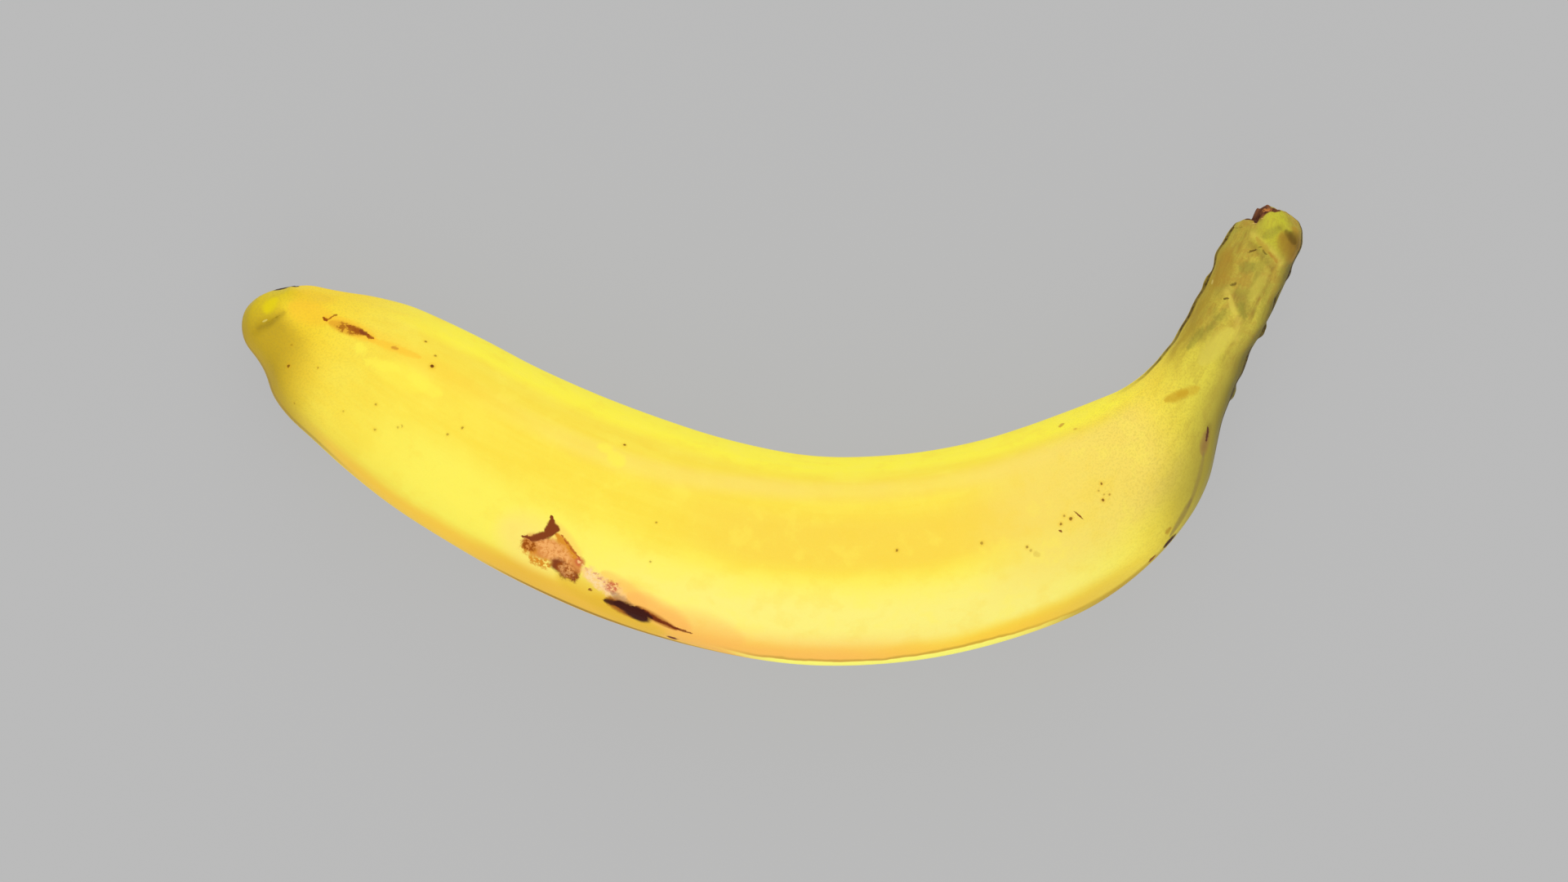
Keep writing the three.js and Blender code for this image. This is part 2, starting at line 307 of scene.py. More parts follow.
# %% [markdown]
# ## The straightened fruit
#
# Much of what follows runs along the fruit or round it: ridges, streaks, wrinkles. It is
# easier to place on a straightened banana than on the bent one. So every point of the skin
# remembers where it would be if the fruit were pulled straight: how far along, how far
# across, and how far up. The smoothing hands this on to the points that it adds.

# %% Remember the straightened place
coarse_straight = np.zeros((len(skin.data.vertices), 3), dtype=np.float32)
for index, point in enumerate(skin.data.vertices):
    number = index // RING_SIDES
    if number >= len(rings):  # the two points that close the ends
        number = 0 if point.co.x < 0 else len(rings) - 1
    home = rings[number]
    offset = point.co - home["middle"]
    across = offset.x * math.cos(home["turned"]) + offset.y * math.sin(home["turned"])
    coarse_straight[index] = (home["along"] * MM, across, offset.z)
attribute = skin.data.attributes.new("straight", "FLOAT_VECTOR", "POINT")
attribute.data.foreach_set("vector", coarse_straight.ravel())
print("straightened length in mm:", round(float(np.ptp(coarse_straight[:, 0])) / MM, 1))

# %% Unwrap the skin
# The skin is slit along the side that it rests on and rolled out: lengthwise is u.
MARGIN = 1.5  # mm of the sheet left free at both ends
FIT = 0.97  # so that the faces over the slit still end on the sheet
SIDE_POINTS = RING_SIDES * len(rings)  # the two points after these close the ends
sheet_start, sheet_end = rings[0]["along"] - MARGIN, rings[-1]["along"] + MARGIN


def round_share(index):
    """How far round the fruit a point is: 0 and 1 at the slit, 0.5 on top."""
    across, up = coarse_straight[index][1:]
    return math.atan2(across, up) / (2 * math.pi) + 0.5


layout = skin.data.uv_layers.new(name="OFBake")
for face in skin.data.polygons:
    rounds = {index: round_share(index) for index in face.vertices if index < SIDE_POINTS}
    if max(rounds.values()) > 0.75 and min(rounds.values()) < 0.25:
        rounds = {index: value + 1 if value < 0.25 else value for index, value in rounds.items()}
    pole = sum(rounds.values()) / len(rounds)
    for loop, index in zip(face.loop_indices, face.vertices):
        lengthwise = (coarse_straight[index][0] / MM - sheet_start) / (sheet_end - sheet_start)
        layout.data[loop].uv = (lengthwise, rounds.get(index, pole) * FIT)
print("unwrapped faces:", len(skin.data.polygons))

# %% Smooth the grid
smoothing = skin.modifiers.new("smoothing", "SUBSURF")
smoothing.levels = smoothing.render_levels = 2
bpy.ops.object.modifier_apply(modifier="smoothing")
bpy.ops.object.shade_smooth()
print("triangles:", sum(len(face.vertices) - 2 for face in skin.data.polygons))

# %% Where every point of the fine skin lies
COUNT = len(skin.data.vertices)


def points():
    """The skin's points as they are now, in metres."""
    flat = np.empty(COUNT * 3, dtype=np.float32)
    skin.data.vertices.foreach_get("co", flat)
    return flat.reshape(COUNT, 3)


pulled_straight = np.empty(COUNT * 3, dtype=np.float32)
skin.data.attributes["straight"].data.foreach_get("vector", pulled_straight)
straight = pulled_straight.reshape(COUNT, 3)
along = straight[:, 0] / MM
full_rings = rings[len(SCAR_SHARES):len(SCAR_SHARES) + side_rings]
ring_places = [each["along"] for each in full_rings]
half_width = np.interp(along, ring_places, [each["half_width"] for each in full_rings])
half_thick = np.interp(along, ring_places, [each["half_thickness"] for each in full_rings])
across_share = straight[:, 1] / half_width
up_share = straight[:, 2] / half_thick
turn = np.degrees(np.arctan2(across_share, up_share))  # from straight up towards the inside
out_share = np.hypot(across_share, up_share)
print("shares reach:", round(float(out_share.max()), 3))


def ease(start, end, values):
    """Smoothly from 0 to 1 between start and end."""
    share = np.clip((values - start) / (end - start), 0, 1)
    return share * share * (3 - 2 * share)


def bell(values, width):
    """1 at zero, and nearly 0 at twice the width."""
    return np.exp(-((values / width) ** 2))


def turn_between(a, b):
    """The difference of two angles in degrees, between -180 and 180."""
    return (a - b + 180) % 360 - 180


# %% [markdown]
# ## Raising and pressing the skin
#
# Relief could be painted as bump, but bump vanishes at the outline and from the finished
# mesh. Here each relief is a real displacement: the points get weights, by their place, and a
# Displace modifier moves the skin along its normals by those weights.

# %% The helper for all relief
def raise_skin(name, heights, direction="NORMAL"):
    """Moves each point of the skin by its height in mm; heights below zero press it in."""
    for sign, title in ((1, "up"), (-1, "down")):
        weights = np.clip(heights * sign, 0, None)
        most = float(weights.max())
        if most == 0:
            continue
        group = skin.vertex_groups.new(name=f"{name}_{title}")
        shares = weights / most
        for index in np.nonzero(shares > 0.001)[0]:
            group.add([int(index)], float(shares[index]), "REPLACE")
        push = skin.modifiers.new(group.name, "DISPLACE")
        push.vertex_group = group.name
        push.direction = direction
        push.mid_level = 0
        push.strength = sign * most * MM
        bpy.ops.object.modifier_apply(modifier=push.name)
        skin.vertex_groups.remove(skin.vertex_groups[f"{name}_{title}"])
    print(name, "from", round(float(heights.min()), 2), "to", round(float(heights.max()), 2), "mm")


# %% [markdown]
# ## Five soft ridges
#
# A banana is a rounded pentagon, because it grows from three carpels pressed against its
# neighbours. The ridges are sharp near both ends and soft along the middle, and they wander a
# little round the fruit. What lies between the ridges is pressed in, so the outline keeps the
# slices' measures.

# %% Ridges
# Each ridge's angle in degrees: at the flower end, in the middle and at the stem.
RIDGES = [(28, 42, 26), (101, 98, 98), (173, 150, 170), (245, 213, 242), (317, 291, 311)]
RIDGE_WIDTH = 17


def ridge_turn(ridge, along):
    """Angle of a ridge round the fruit, at each distance along it."""
    flower, middle, stem = ridge
    angle = flower + (middle - flower) * ease(70, 118, along)
    return angle + (stem - angle) * ease(160, 196, along)


def raw_section(turn, along):
    """Radius of the pentagon before it is fitted to the slice."""
    ends = np.maximum(1 - ease(15, 60, along), ease(165, 195, along))
    rise = 0.055 + 0.02 * ends
    bells = [bell(turn_between(turn, ridge_turn(ridge, along)), RIDGE_WIDTH) for ridge in RIDGES]
    return 1 + rise * sum(bells)


steps_along = np.arange(0, LENGTH + 1)[:, None]
steps_round = np.arange(-180, 180, 2)[None, :]
radii = raw_section(steps_round, steps_along)
sideways = radii * np.sin(np.radians(steps_round))
upright = radii * np.cos(np.radians(steps_round))
reaches = [reach.max(axis=1) for reach in (sideways, -sideways, upright, -upright)]
reach = [np.interp(along, steps_along[:, 0], values) for values in reaches]

radians = np.radians(turn)
radius = raw_section(turn, along)
side = radius * np.sin(radians)
high = radius * np.cos(radians)
side = side / np.where(side > 0, reach[0], reach[1])
high = high / np.where(high > 0, reach[2], reach[3])
local_radius = np.hypot(half_width * np.sin(radians), half_thick * np.cos(radians)) / MM
on_side = ease(0.9, 1.0, out_share)
raise_skin("ridges", (np.hypot(side, high) - 1) * local_radius * on_side)

# %% [markdown]
# ## Long soft hollows
#
# No two spans of peel are alike: it has filled out unevenly as the fruit ripened. A cloud of
# noise would do this on a stone, but on a banana the hollows are long and lie lengthwise. So
# the noise is read at the straightened place, stretched along the fruit.

# %% Hollows
def long_noise(length, breadth, shift=0.0):
    """Seamless noise between about -1 and 1, with cells of this length and breadth in mm."""
    scale = np.array([length, breadth, breadth]) * MM
    places = straight / scale + shift
    return np.array([noise.noise(Vector(place)) for place in places.astype(float)])


body = ease(8, 30, along) * (1 - ease(196, 215, along)) * on_side
hollows = 0.16 * long_noise(38, 9) + 0.05 * long_noise(15, 4, 3.7)
raise_skin("hollows", hollows * body)

# %% [markdown]
# ## The stem's dried wrinkles
#
# The stem has lost its water and shrunk onto its fibres, which leaves low knobs and slanting
# folds. Rings of equal size would look like a hose, so two families of waves that are out of
# step with each other are mixed with noise.

# %% Wrinkles
KNOB_PITCH = 7.5  # mm from knob to knob along the stem
travel = along / KNOB_PITCH * 2 * np.pi
knobs = np.sin(travel + 2.4 * np.sin(radians)) * np.sin(2 * radians + 0.35 * travel)
folds = np.sin(0.62 * travel + 1.7 * np.cos(2 * radians)) * np.cos(3 * radians - 0.2 * travel)
rough = long_noise(3.6, 2.6, 8.1)
stem = ease(186, 206, along) * on_side
raise_skin("wrinkles", stem * (0.15 * knobs + 0.12 * folds + 0.14 * rough))

# %% [markdown]
# ## The torn end of the stem
#
# The stem was torn from its bunch, not cut. The tear leaves a rounded collar of peel, a brown
# crest that stands up from it, and a torn wall that drops to a shelf on the inside of the
# bend. It is raised from the flat end face, along the stem's own direction.

# %% Torn end
CREST, SHELF = 4.7, 1.3  # mm over the last slice
FALL = 1.9  # mm by which the crest falls towards the outside of the bend
DIP = 0.9  # mm by which it slopes down again, just before the wall
wall_place = 0.26 - 0.5 * np.clip(up_share, 0, 0.55) + 0.3 * ease(0.6, 1.0, up_share)
wall = ease(0, 0.2, across_share - wall_place)
strings = 0.28 * np.sin(9 * across_share + 5 * up_share) * np.sin(7 * up_share - 3 * across_share)
behind = CREST - FALL * np.minimum(1, 0.3 - across_share)
behind = behind - DIP * ease(-0.28, 0, across_share - wall_place)
torn = behind + (SHELF - behind) * wall + strings + 0.25 * long_noise(9, 0.9, 5.2)
end_face = ease(LENGTH - 0.3, LENGTH + 0.1, along)
collar = 1 - np.minimum(1, out_share) ** 7
raise_skin("torn_end", torn * collar * end_face, "Y")

# %% [markdown]
# ## The flower scar and its knob
#
# Where the flower dried off, the fruit ends in a small dark scar, dished in its middle, on a
# knob that a shallow groove sets off from the body.

# %% Scar and groove
scar_face = 1 - ease(-0.3, 0.1, along)
rim = 0.15 * (1 - ease(0.8, 1.0, out_share))
dish = 0.5 * (1 - ease(0.1, 0.7, out_share))
raise_skin("flower_scar", (rim - dish) * scar_face, "Y")
outer = 1 - ease(0, 40, turn) * (1 - ease(150, 180, turn))
raise_skin("knob_groove", -0.35 * bell(along - 9, 2.2) * on_side * outer)

# %% [markdown]
# ## Laying it down
#
# The peel gives a little where it bears the fruit's weight, so all that would sink below the
# table is flattened onto it. Then the skin is moved over the solid that it replaces.

# %% Lay it down
bpy.ops.object.mode_set(mode="EDIT")
bpy.ops.mesh.select_mode(type="VERT")
bpy.ops.mesh.select_all(action="DESELECT")
bpy.ops.object.mode_set(mode="OBJECT")
skin.data.vertices.foreach_set("select", points()[:, 2] < 0)
bpy.ops.object.mode_set(mode="EDIT")
bpy.ops.transform.resize(value=(1, 1, 0), center_override=(0, 0, 0))
bpy.ops.mesh.select_all(action="SELECT")
skin_low, skin_high = points().min(axis=0), points().max(axis=0)
cad_low, cad_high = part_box("banana")
shift = [float((cad_low[i] + cad_high[i] - skin_low[i] - skin_high[i]) / 2) for i in range(2)]
bpy.ops.transform.translate(value=(shift[0], shift[1], 0))
bpy.ops.object.mode_set(mode="OBJECT")
print("moved in mm:", [round(s / MM, 2) for s in shift])
print("skin in mm:", points().min(axis=0) / MM, points().max(axis=0) / MM)

# %% [markdown]
# ## Creases and knobs placed one by one
#
# The crease beside the flower scar, the slanting fold under the torn collar and the knobs on
# the stem's outer side each belong to one spot. They are drawn as short lines on the fruit as
# it is seen from the camera, and the line of sight carries every point down onto the skin.

# %% From a place in view to the skin
def skin_tree():
    """The skin as it is now, sorted so that the nearest face is found fast."""
    return bvhtree.BVHTree.FromObject(skin, bpy.context.evaluated_depsgraph_get())


def place_and_normal(tree, x, y):
    """Point and normal of the skin that shows at x and y (mm, at the fruit's middle height)."""
    seen = Vector((x * MM, y * MM, FRUIT_HEIGHT))
    sight = (seen - CAMERA_PLACE).normalized()
    place, normal = tree.ray_cast(CAMERA_PLACE, sight)[:2]
    if place is None:
        place, normal = tree.find_nearest(seen)[:2]
    return place, normal


def on_skin(tree, x, y):
    """The point of the skin that shows at x and y."""
    return place_and_normal(tree, x, y)[0]


def line_distance(line):
    """Each skin point's distance in mm from a line of points."""
    here = points().astype(float)
    best = np.full(COUNT, 1e9)
    for a, b in zip(line, line[1:]):
        a, b = np.array(a), np.array(b)
        share = np.clip(((here - a) @ (b - a)) / ((b - a) @ (b - a)), 0, 1)
        best = np.minimum(best, np.linalg.norm(here - a - share[:, None] * (b - a), axis=1))
    return best / MM


# %% The creases: height, width and points, in mm
# A point has a height above the table where the crease lies on the outline.
CREASES = {
    "flower_crease": (-0.4, 0.7, [(-94.0, 19.6), (-91.9, 20.4), (-89.5, 22.3)]),
    "collar_fold": (0.4, 1.0, [(88.1, 36.6), (90.1, 34.9), (91.6, 33.4), (93.0, 31.5)]),
    "collar_groove": (-0.35, 0.9, [(87.4, 35.1), (88.8, 33.8), (90.4, 32.1), (91.4, 30.3)]),
    "stem_ridge": (0.35, 1.1, [(83.3, 26.1), (84.3, 23.5), (85.3, 20.9), (84.9, 17.9)]),
    "stem_hollow": (-0.35, 1.4, [(86.0, 25.1), (87.4, 22.7)]),
    "outer_fold": (-0.3, 0.8, [(93.2, 38.0), (94.8, 36.2), (95.4, 34.5)]),
    "upper_bump": (0.2, 1.0, [(94.8, 29.6, 15), (94.4, 28.4, 15)]),
    "upper_dent": (-0.5, 1.4, [(93.8, 27.4, 15), (92.8, 25.4, 15)]),
    "outer_notch": (-0.6, 0.8, [(90.8, 21.3, 13), (90.6, 20.9, 13)]),
    "outer_knob": (0.6, 1.1, [(90.3, 19.7, 12), (89.9, 18.7, 12)]),
    "lower_dent": (-0.3, 1.0, [(88.6, 17.0, 12), (88.3, 16.4, 12)]),
    "lower_bump": (0.3, 1.6, [(86.8, 13.6, 11), (86.0, 11.6, 11)]),
    "low_knob": (0.45, 1.0, [(84.6, 8.2, 9), (84.3, 7.4, 9)]),
    "low_dent": (-0.3, 0.8, [(83.2, 5.8, 9), (83.0, 5.4, 9)]),
    "inner_knob": (0.3, 1.0, [(80.4, 28.4, 13), (80.0, 27.6, 13)]),
    "neck_slit": (-0.3, 1.0, [(80.3, 1.6), (79.9, -0.4), (79.3, -2.4)]),
}
print("creases:", len(CREASES))

# %% Press and raise the creases
uncreased = skin_tree()


def crease_point(x, y, height=None):
    """A place on the skin as it is seen, or, given a height in mm, the nearest place to it."""
    if height is None:
        return on_skin(uncreased, x, y)
    return uncreased.find_nearest(Vector((x, y, height)) * MM)[0]


shading = {"creased": np.zeros(COUNT), "folded": np.zeros(COUNT)}
for name, (height, width, line) in CREASES.items():
    distances = line_distance([crease_point(*point) for point in line])
    raise_skin(name, height * bell(distances, width))
    kind = "creased" if height < 0 else "folded"
    if len(line[0]) == 2:  # those on the outline are seen edge-on, and take no shading
        shading[kind] = np.maximum(shading[kind], bell(distances, 0.7 * width))
for name, values in shading.items():
    attribute = skin.data.attributes.new(name, "FLOAT", "POINT")
    attribute.data.foreach_set("value", values.astype(np.float32))

# %% [markdown]
# ## Marks that belong to one spot
#
# Freckles and bruises are what make a ripe banana look real. Hundreds of small dots could be
# scattered by noise alone, but then none would be where this fruit has it. Each freckle is
# listed with its place and size, carried onto the skin, and handed to the faces round it, so
# that the material can draw a sharp dot by measuring the distance from its middle. Dice, seeded
# so that they always fall the same, throw some more where the camera doesn't look.

# %% Freckles in view: x, y, radius in mm, and how dark
FRECKLES = [
    (-88.4, 12.6, 0.36, 0.8), (-83.0, 12.3, 0.22, 0.45), (-87.8, 16.5, 0.3, 0.3),
    (-87.3, 5.8, 0.26, 0.4), (-78.4, 4.3, 0.26, 0.3), (-72.4, 5.6, 0.26, 0.5),
    (-72.6, 1.0, 0.28, 0.45), (-68.4, 1.4, 0.26, 0.35), (-67.7, 1.6, 0.28, 0.45),
    (-56.6, 1.3, 0.26, 0.55), (-59.3, 0.1, 0.26, 0.5), (-26.9, -1.8, 0.3, 0.85),
    (-21.1, -16.0, 0.22, 0.55), (-22.2, -23.2, 0.22, 0.5), (22.9, -21.1, 0.3, 0.7),
    (38.4, -19.8, 0.34, 0.55), (46.7, -20.5, 0.3, 0.6), (47.4, -21.1, 0.3, 0.35),
    (52.9, -16.3, 0.3, 0.7), (53.5, -14.8, 0.26, 0.5), (54.7, -15.3, 0.36, 0.8),
    (60.3, -8.9, 0.3, 0.8), (59.8, -10.2, 0.24, 0.4), (60.6, -11.9, 0.34, 0.85),
    (61.8, -10.9, 0.24, 0.5), (60.8, -10.9, 0.22, 0.35), (-63.3, 17.1, 0.3, 0.75),
    (-62.1, 12.6, 0.42, 1.0), (-61.5, 14.5, 0.3, 0.6),
]
print("freckles in view:", len(FRECKLES))

# %% Carry them onto the skin, and add more out of view
HIDDEN_FRECKLES = 110
AVERAGE_RADIUS = 17  # of the fruit, in mm
dice = np.random.default_rng(11)
tree = skin_tree()
spots = [(*(on_skin(tree, x, y)), size, dark) for x, y, size, dark in FRECKLES]
skin_points = points()
for number in range(HIDDEN_FRECKLES):
    spot_along, spot_turn = dice.uniform(12, 185), math.radians(dice.uniform(105, 255))
    size, dark = dice.uniform(0.2, 0.5), dice.uniform(0.35, 0.9)
    gaps = ((along - spot_along) ** 2
            + (AVERAGE_RADIUS * (across_share - math.sin(spot_turn))) ** 2
            + (AVERAGE_RADIUS * (up_share - math.cos(spot_turn))) ** 2)
    spots.append((*skin_points[np.argmin(gaps)], size, dark))
spots = np.array(spots)
print("freckles:", len(spots))

# %% Hand each freckle to the faces round it
face_count = len(skin.data.polygons)
centres = np.empty(face_count * 3, dtype=np.float32)
skin.data.polygons.foreach_get("center", centres)
centres = centres.reshape(face_count, 3)
nearest = np.zeros(face_count, dtype=int)
least = np.full(face_count, 1e9)
for number, spot in enumerate(spots):
    gaps = np.linalg.norm(centres - spot[:3], axis=1)
    closer = gaps < least
    nearest[closer], least[closer] = number, gaps[closer]
attribute = skin.data.attributes.new("freckle_place", "FLOAT_VECTOR", "FACE")
attribute.data.foreach_set("vector", spots[nearest, :3].astype(np.float32).ravel())
for name, column, unit in (("freckle_size", 3, MM), ("freckle_dark", 4, 1)):
    attribute = skin.data.attributes.new(name, "FLOAT", "FACE")
    attribute.data.foreach_set("value", (spots[nearest, column] * unit).astype(np.float32))
print("faces nearest to one freckle, at most:", int(np.bincount(nearest).max()))

# %% Hand on the place along and round the fruit
rounded = np.stack([along, across_share, up_share], axis=1).astype(np.float32)
attribute = skin.data.attributes.new("round", "FLOAT_VECTOR", "POINT")
attribute.data.foreach_set("vector", rounded.ravel())
print("attributes on the skin:", len(skin.data.attributes))

# %% [markdown]
# ## The peel
#
# Ripe peel is a waxy, slightly translucent skin. One yellow would look like plastic: the real
# colour runs in soft bands from ridge to ridge, streaks lengthwise with the fibres, turns green
# where the ends ripen last, and browns where the stem has dried. A pale band on the lower face is a
# painted sheen. The bands are drawn by the angle round the fruit, the ends by the distance along
# it, and the rest by noise.

# %% Short names for the nodes
peel = bpy.data.materials.new("banana_peel")
peel.use_nodes = True
tree_nodes = peel.node_tree
tree_nodes.nodes.clear()


def feed(socket, value):
    """Sets a node's input, or wires another node's output to it."""
    if isinstance(value, bpy.types.NodeSocket):
        tree_nodes.links.new(value, socket)
    elif isinstance(value, tuple) and len(value) == 3 and socket.type == "RGBA":
        socket.default_value = (*value, 1)
    else:
        socket.default_value = value


def maths(operation, *values):
    """One operation on numbers, such as ADD."""
    node = tree_nodes.nodes.new("ShaderNodeMath")
    node.operation = operation
    for socket, value in zip(node.inputs, values):
        feed(socket, value)
    return node.outputs[0]


def arrows(operation, *values, output=0):
    """One operation on vectors; output 1 gives a length or a distance."""
    node = tree_nodes.nodes.new("ShaderNodeVectorMath")
    node.operation = operation
    for socket, value in zip(node.inputs, values):
        feed(socket, value)
    return node.outputs[output]


# %% Fades, tints and noise
def fade(value, start, end, low=0.0, high=1.0):
    """Smoothly from low to high as the value goes from start to end."""
    node = tree_nodes.nodes.new("ShaderNodeMapRange")
    node.interpolation_type = "SMOOTHSTEP"
    for name, number in (("Value", value), ("From Min", start), ("From Max", end),
                         ("To Min", low), ("To Max", high)):
        feed(node.inputs[name], number)
    return node.outputs["Result"]


def product(*values):
    """All the values, multiplied one by one."""
    result = values[0]
    for value in values[1:]:
        result = maths("MULTIPLY", result, value)
    return result


def span(value, a, b, c, d):
    """0 up to a, 1 from b to c, and 0 again from d."""
    return product(fade(value, a, b), fade(value, c, d, 1.0, 0.0))


UNDER, OVER, MIXED = 6, 7, 2  # a Mix node's sockets for colours


def tint(under, over, share):
    """The colour under, with this share of the colour over it laid on top."""
    node = tree_nodes.nodes.new("ShaderNodeMix")
    node.data_type = "RGBA"
    feed(node.inputs["Factor"], share)
    feed(node.inputs[UNDER], under)
    feed(node.inputs[OVER], over)
    return node.outputs[MIXED]


def grain(vector, scale, detail=3.0, roughness=0.5, stretch=(1, 1, 1)):
    """Noise, about 0.5 on average, with cells stretched as told."""
    node = tree_nodes.nodes.new("ShaderNodeTexNoise")
    feed(node.inputs["Vector"], arrows("MULTIPLY", vector, stretch))
    for name, number in (("Scale", scale), ("Detail", detail), ("Roughness", roughness)):
        node.inputs[name].default_value = number
    return node.outputs["Fac"]


def from_skin(name, output):
    """Reads one of the attributes that the skin's mesh carries."""
    node = tree_nodes.nodes.new("ShaderNodeAttribute")
    node.attribute_name = name
    return node.outputs[output]



# %% Where a point of the peel lies
coordinates = tree_nodes.nodes.new("ShaderNodeTexCoord")
here = arrows("ADD", coordinates.outputs["Object"], (0, 0, 0))
pulled = arrows("ADD", from_skin("straight", "Vector"), (0, 0, 0))
split = tree_nodes.nodes.new("ShaderNodeSeparateXYZ")
feed(split.inputs[0], from_skin("round", "Vector"))
far, sideways_share, upright_share = split.outputs
around = maths("DEGREES", maths("ARCTAN2", sideways_share, upright_share))
print("nodes for the places:", len(tree_nodes.nodes))

# %% Patterns that the colours share
# Beside `far`, numbers are mm along the fruit; beside an angle, they are degrees round it.
streaks = grain(pulled, 420, 4.0, 0.6, (0.09, 1, 1))
clouds = grain(pulled, 75, 3.0, 0.55, (0.45, 1, 1))
mottle = grain(pulled, 160, 4.0, 0.6)
# 90 on the inside of the bend, -90 on the outside, and 0 on top and underneath.
lean = maths("SUBTRACT", maths("PINGPONG", maths("ADD", around, 90.0), 180.0), 90.0)
wandering = maths("ADD", around, maths("MULTIPLY_ADD", clouds, 16.0, -8.0))
print("nodes with the patterns:", len(tree_nodes.nodes))

# %% The yellow and its bands
RIPE, RIPE_STREAK = (0.91, 0.702, 0.061), (0.92, 0.737, 0.073)
BRIGHT_BAND = (0.92, 0.807, 0.098)
PALE_SHEEN_BAND = (0.92, 0.812, 0.198)
WARM_BAND = (0.9, 0.642, 0.068)
CREAMY_BAND = (0.88, 0.675, 0.135)
INSIDE_BAND = (0.97, 0.852, 0.058)
MOTTLE_DEEP, MOTTLE_LIGHT = (0.89, 0.63, 0.05), (0.96, 0.83, 0.10)


def band(colour, band_colour, angle, angles, places, *strength):
    """Lays a soft band on the colour, between these degrees and these mm along the fruit."""
    share = product(span(angle, *angles), span(far, *places), *strength)
    return tint(colour, band_colour, share)


colour = tint(RIPE, RIPE_STREAK, fade(streaks, 0.35, 0.65))
colour = band(colour, BRIGHT_BAND, wandering, (-62, -46, -22, 2), (24, 44, 160, 180))
# Painted sheen: a pale, whitish band on the lower face stands in for a soft highlight.
colour = band(colour, PALE_SHEEN_BAND, wandering, (-60, -48, -34, -6), (52, 105, 148, 176), 0.9)
colour = band(colour, WARM_BAND, wandering, (-12, 2, 18, 34), (78, 105, 150, 170), 0.9)
colour = band(colour, CREAMY_BAND, wandering, (-48, -22, 34, 52), (138, 158, 180, 190), 0.75)
colour = band(colour, INSIDE_BAND, wandering, (46, 62, 96, 130), (12, 40, 180, 192))
colour = tint(colour, MOTTLE_DEEP, fade(mottle, 0.5, 0.66, 0.0, 0.22))
colour = tint(colour, MOTTLE_LIGHT, fade(mottle, 0.48, 0.34, 0.0, 0.25))
print("nodes with the bands:", len(tree_nodes.nodes))

# %% The ridge in view
RIDGE_NEAR_FLOWER, RIDGE_ON_BODY = (0.91, 0.582, 0.043), (0.92, 0.702, 0.153)
ridge_at = maths("ADD", fade(far, 70.0, 118.0, 28.0, 41.0), fade(far, 160.0, 196.0, 0.0, -14.0))
from_ridge = maths("ABSOLUTE", maths("SUBTRACT", around, ridge_at))
on_ridge = product(fade(from_ridge, 11.0, 1.0), fade(clouds, 0.3, 0.7, 0.5, 1.0))
near_flower = product(on_ridge, span(far, 8.0, 18.0, 30.0, 56.0), 0.8)
colour = tint(colour, RIDGE_NEAR_FLOWER, near_flower)
on_body = product(on_ridge, span(far, 36.0, 80.0, 160.0, 178.0), 0.6)
colour = tint(colour, RIDGE_ON_BODY, on_body)
print("nodes with the ridge:", len(tree_nodes.nodes))

# %% [markdown]
# ## The golden lower flank
#
# The outer flank has ripened furthest: it is golden and blushes orange beside the bruise. Along
# the outline it carries brown lines of painted shade, and towards the neck it turns a duller olive,
# partly its own colour and partly painted shade. Below its edge, past a line of painted shadow
# under the ridge, the fruit turns under, and the peel there is a clean pale yellow. Flat stripes
# would show their ends, so each band also fades along the fruit.

# %% Gold, blush and brown lines
FLANK, FLANK_NEAR_NECK_SHADED = (0.93, 0.582, 0.053), (0.77, 0.532, 0.073)
GOLDEN_FLANK = (0.82, 0.475, 0.045)
BLUSH = (0.91, 0.462, 0.103)
OUTLINE_SHADE_BROWN = (0.36, 0.19, 0.005)
lower = span(wandering, -104.0, -84.0, -65.0, -47.0)
lower = product(lower, span(maths("MULTIPLY_ADD", clouds, 16.0, far), 24.0, 42.0, 158.0, 186.0))
# Towards the neck the flank turns a duller olive: partly its own colour, partly painted shade where it
# turns away.
colour = tint(colour, tint(FLANK, FLANK_NEAR_NECK_SHADED, fade(far, 145.0, 166.0)), lower)
colour = band(colour, GOLDEN_FLANK, around, (-104, -84, -60, -43), (50, 66, 82, 97), 0.8)
colour = band(colour, BLUSH, around, (-84, -72, -61, -39), (84, 94, 116, 142), 0.75)
# Painted shade: brown lines along the flank's outline and at the neck's shoulder, where the fruit turns
# away.
outline_shade = product(span(around, -89.5, -86.5, -82.5, -78.0), span(far, 56.0, 68.0, 100.0, 106.0))
outline_shade = product(outline_shade, fade(streaks, 0.3, 0.5, 0.5, 0.95))
shoulder_shade = product(span(around, -84.0, -78.0, -70.0, -65.0), span(far, 148.0, 158.0, 172.0, 180.0))
colour = tint(colour, OUTLINE_SHADE_BROWN, maths("ADD", outline_shade, product(shoulder_shade, 0.6)))
print("nodes with the flank:", len(tree_nodes.nodes))

# %% The pale span below the flank's edge
EDGE_SHADOW_LINE, PALE_SPAN = (0.42, 0.27, 0.03), (0.98, 0.93, 0.16)
edge_at = maths("SUBTRACT", maths("MULTIPLY_ADD", grain(pulled, 55, 4.0, 0.7), 12.0, around),
                fade(far, 93.0, 106.0, -56.0, -60.5))
edge_reach = span(maths("MULTIPLY_ADD", clouds, 16.0, far), 105.0, 118.0, 148.0, 172.0)
# Painted shadow: a dark line under the lower ridge; the pale span below it is the peel's own colour.
colour = tint(colour, EDGE_SHADOW_LINE, product(span(edge_at, -3.0, 0.0, 0.5, 3.0), edge_reach, 0.6))
clean_to = fade(far, 99.0, 112.0, -2.0, -15.0)
clean = product(fade(edge_at, maths("MULTIPLY", clean_to, 3.2), clean_to), fade(edge_at, -0.5, -2.0))
colour = tint(colour, PALE_SPAN, product(clean, edge_reach))
print("nodes with the pale span:", len(tree_nodes.nodes))
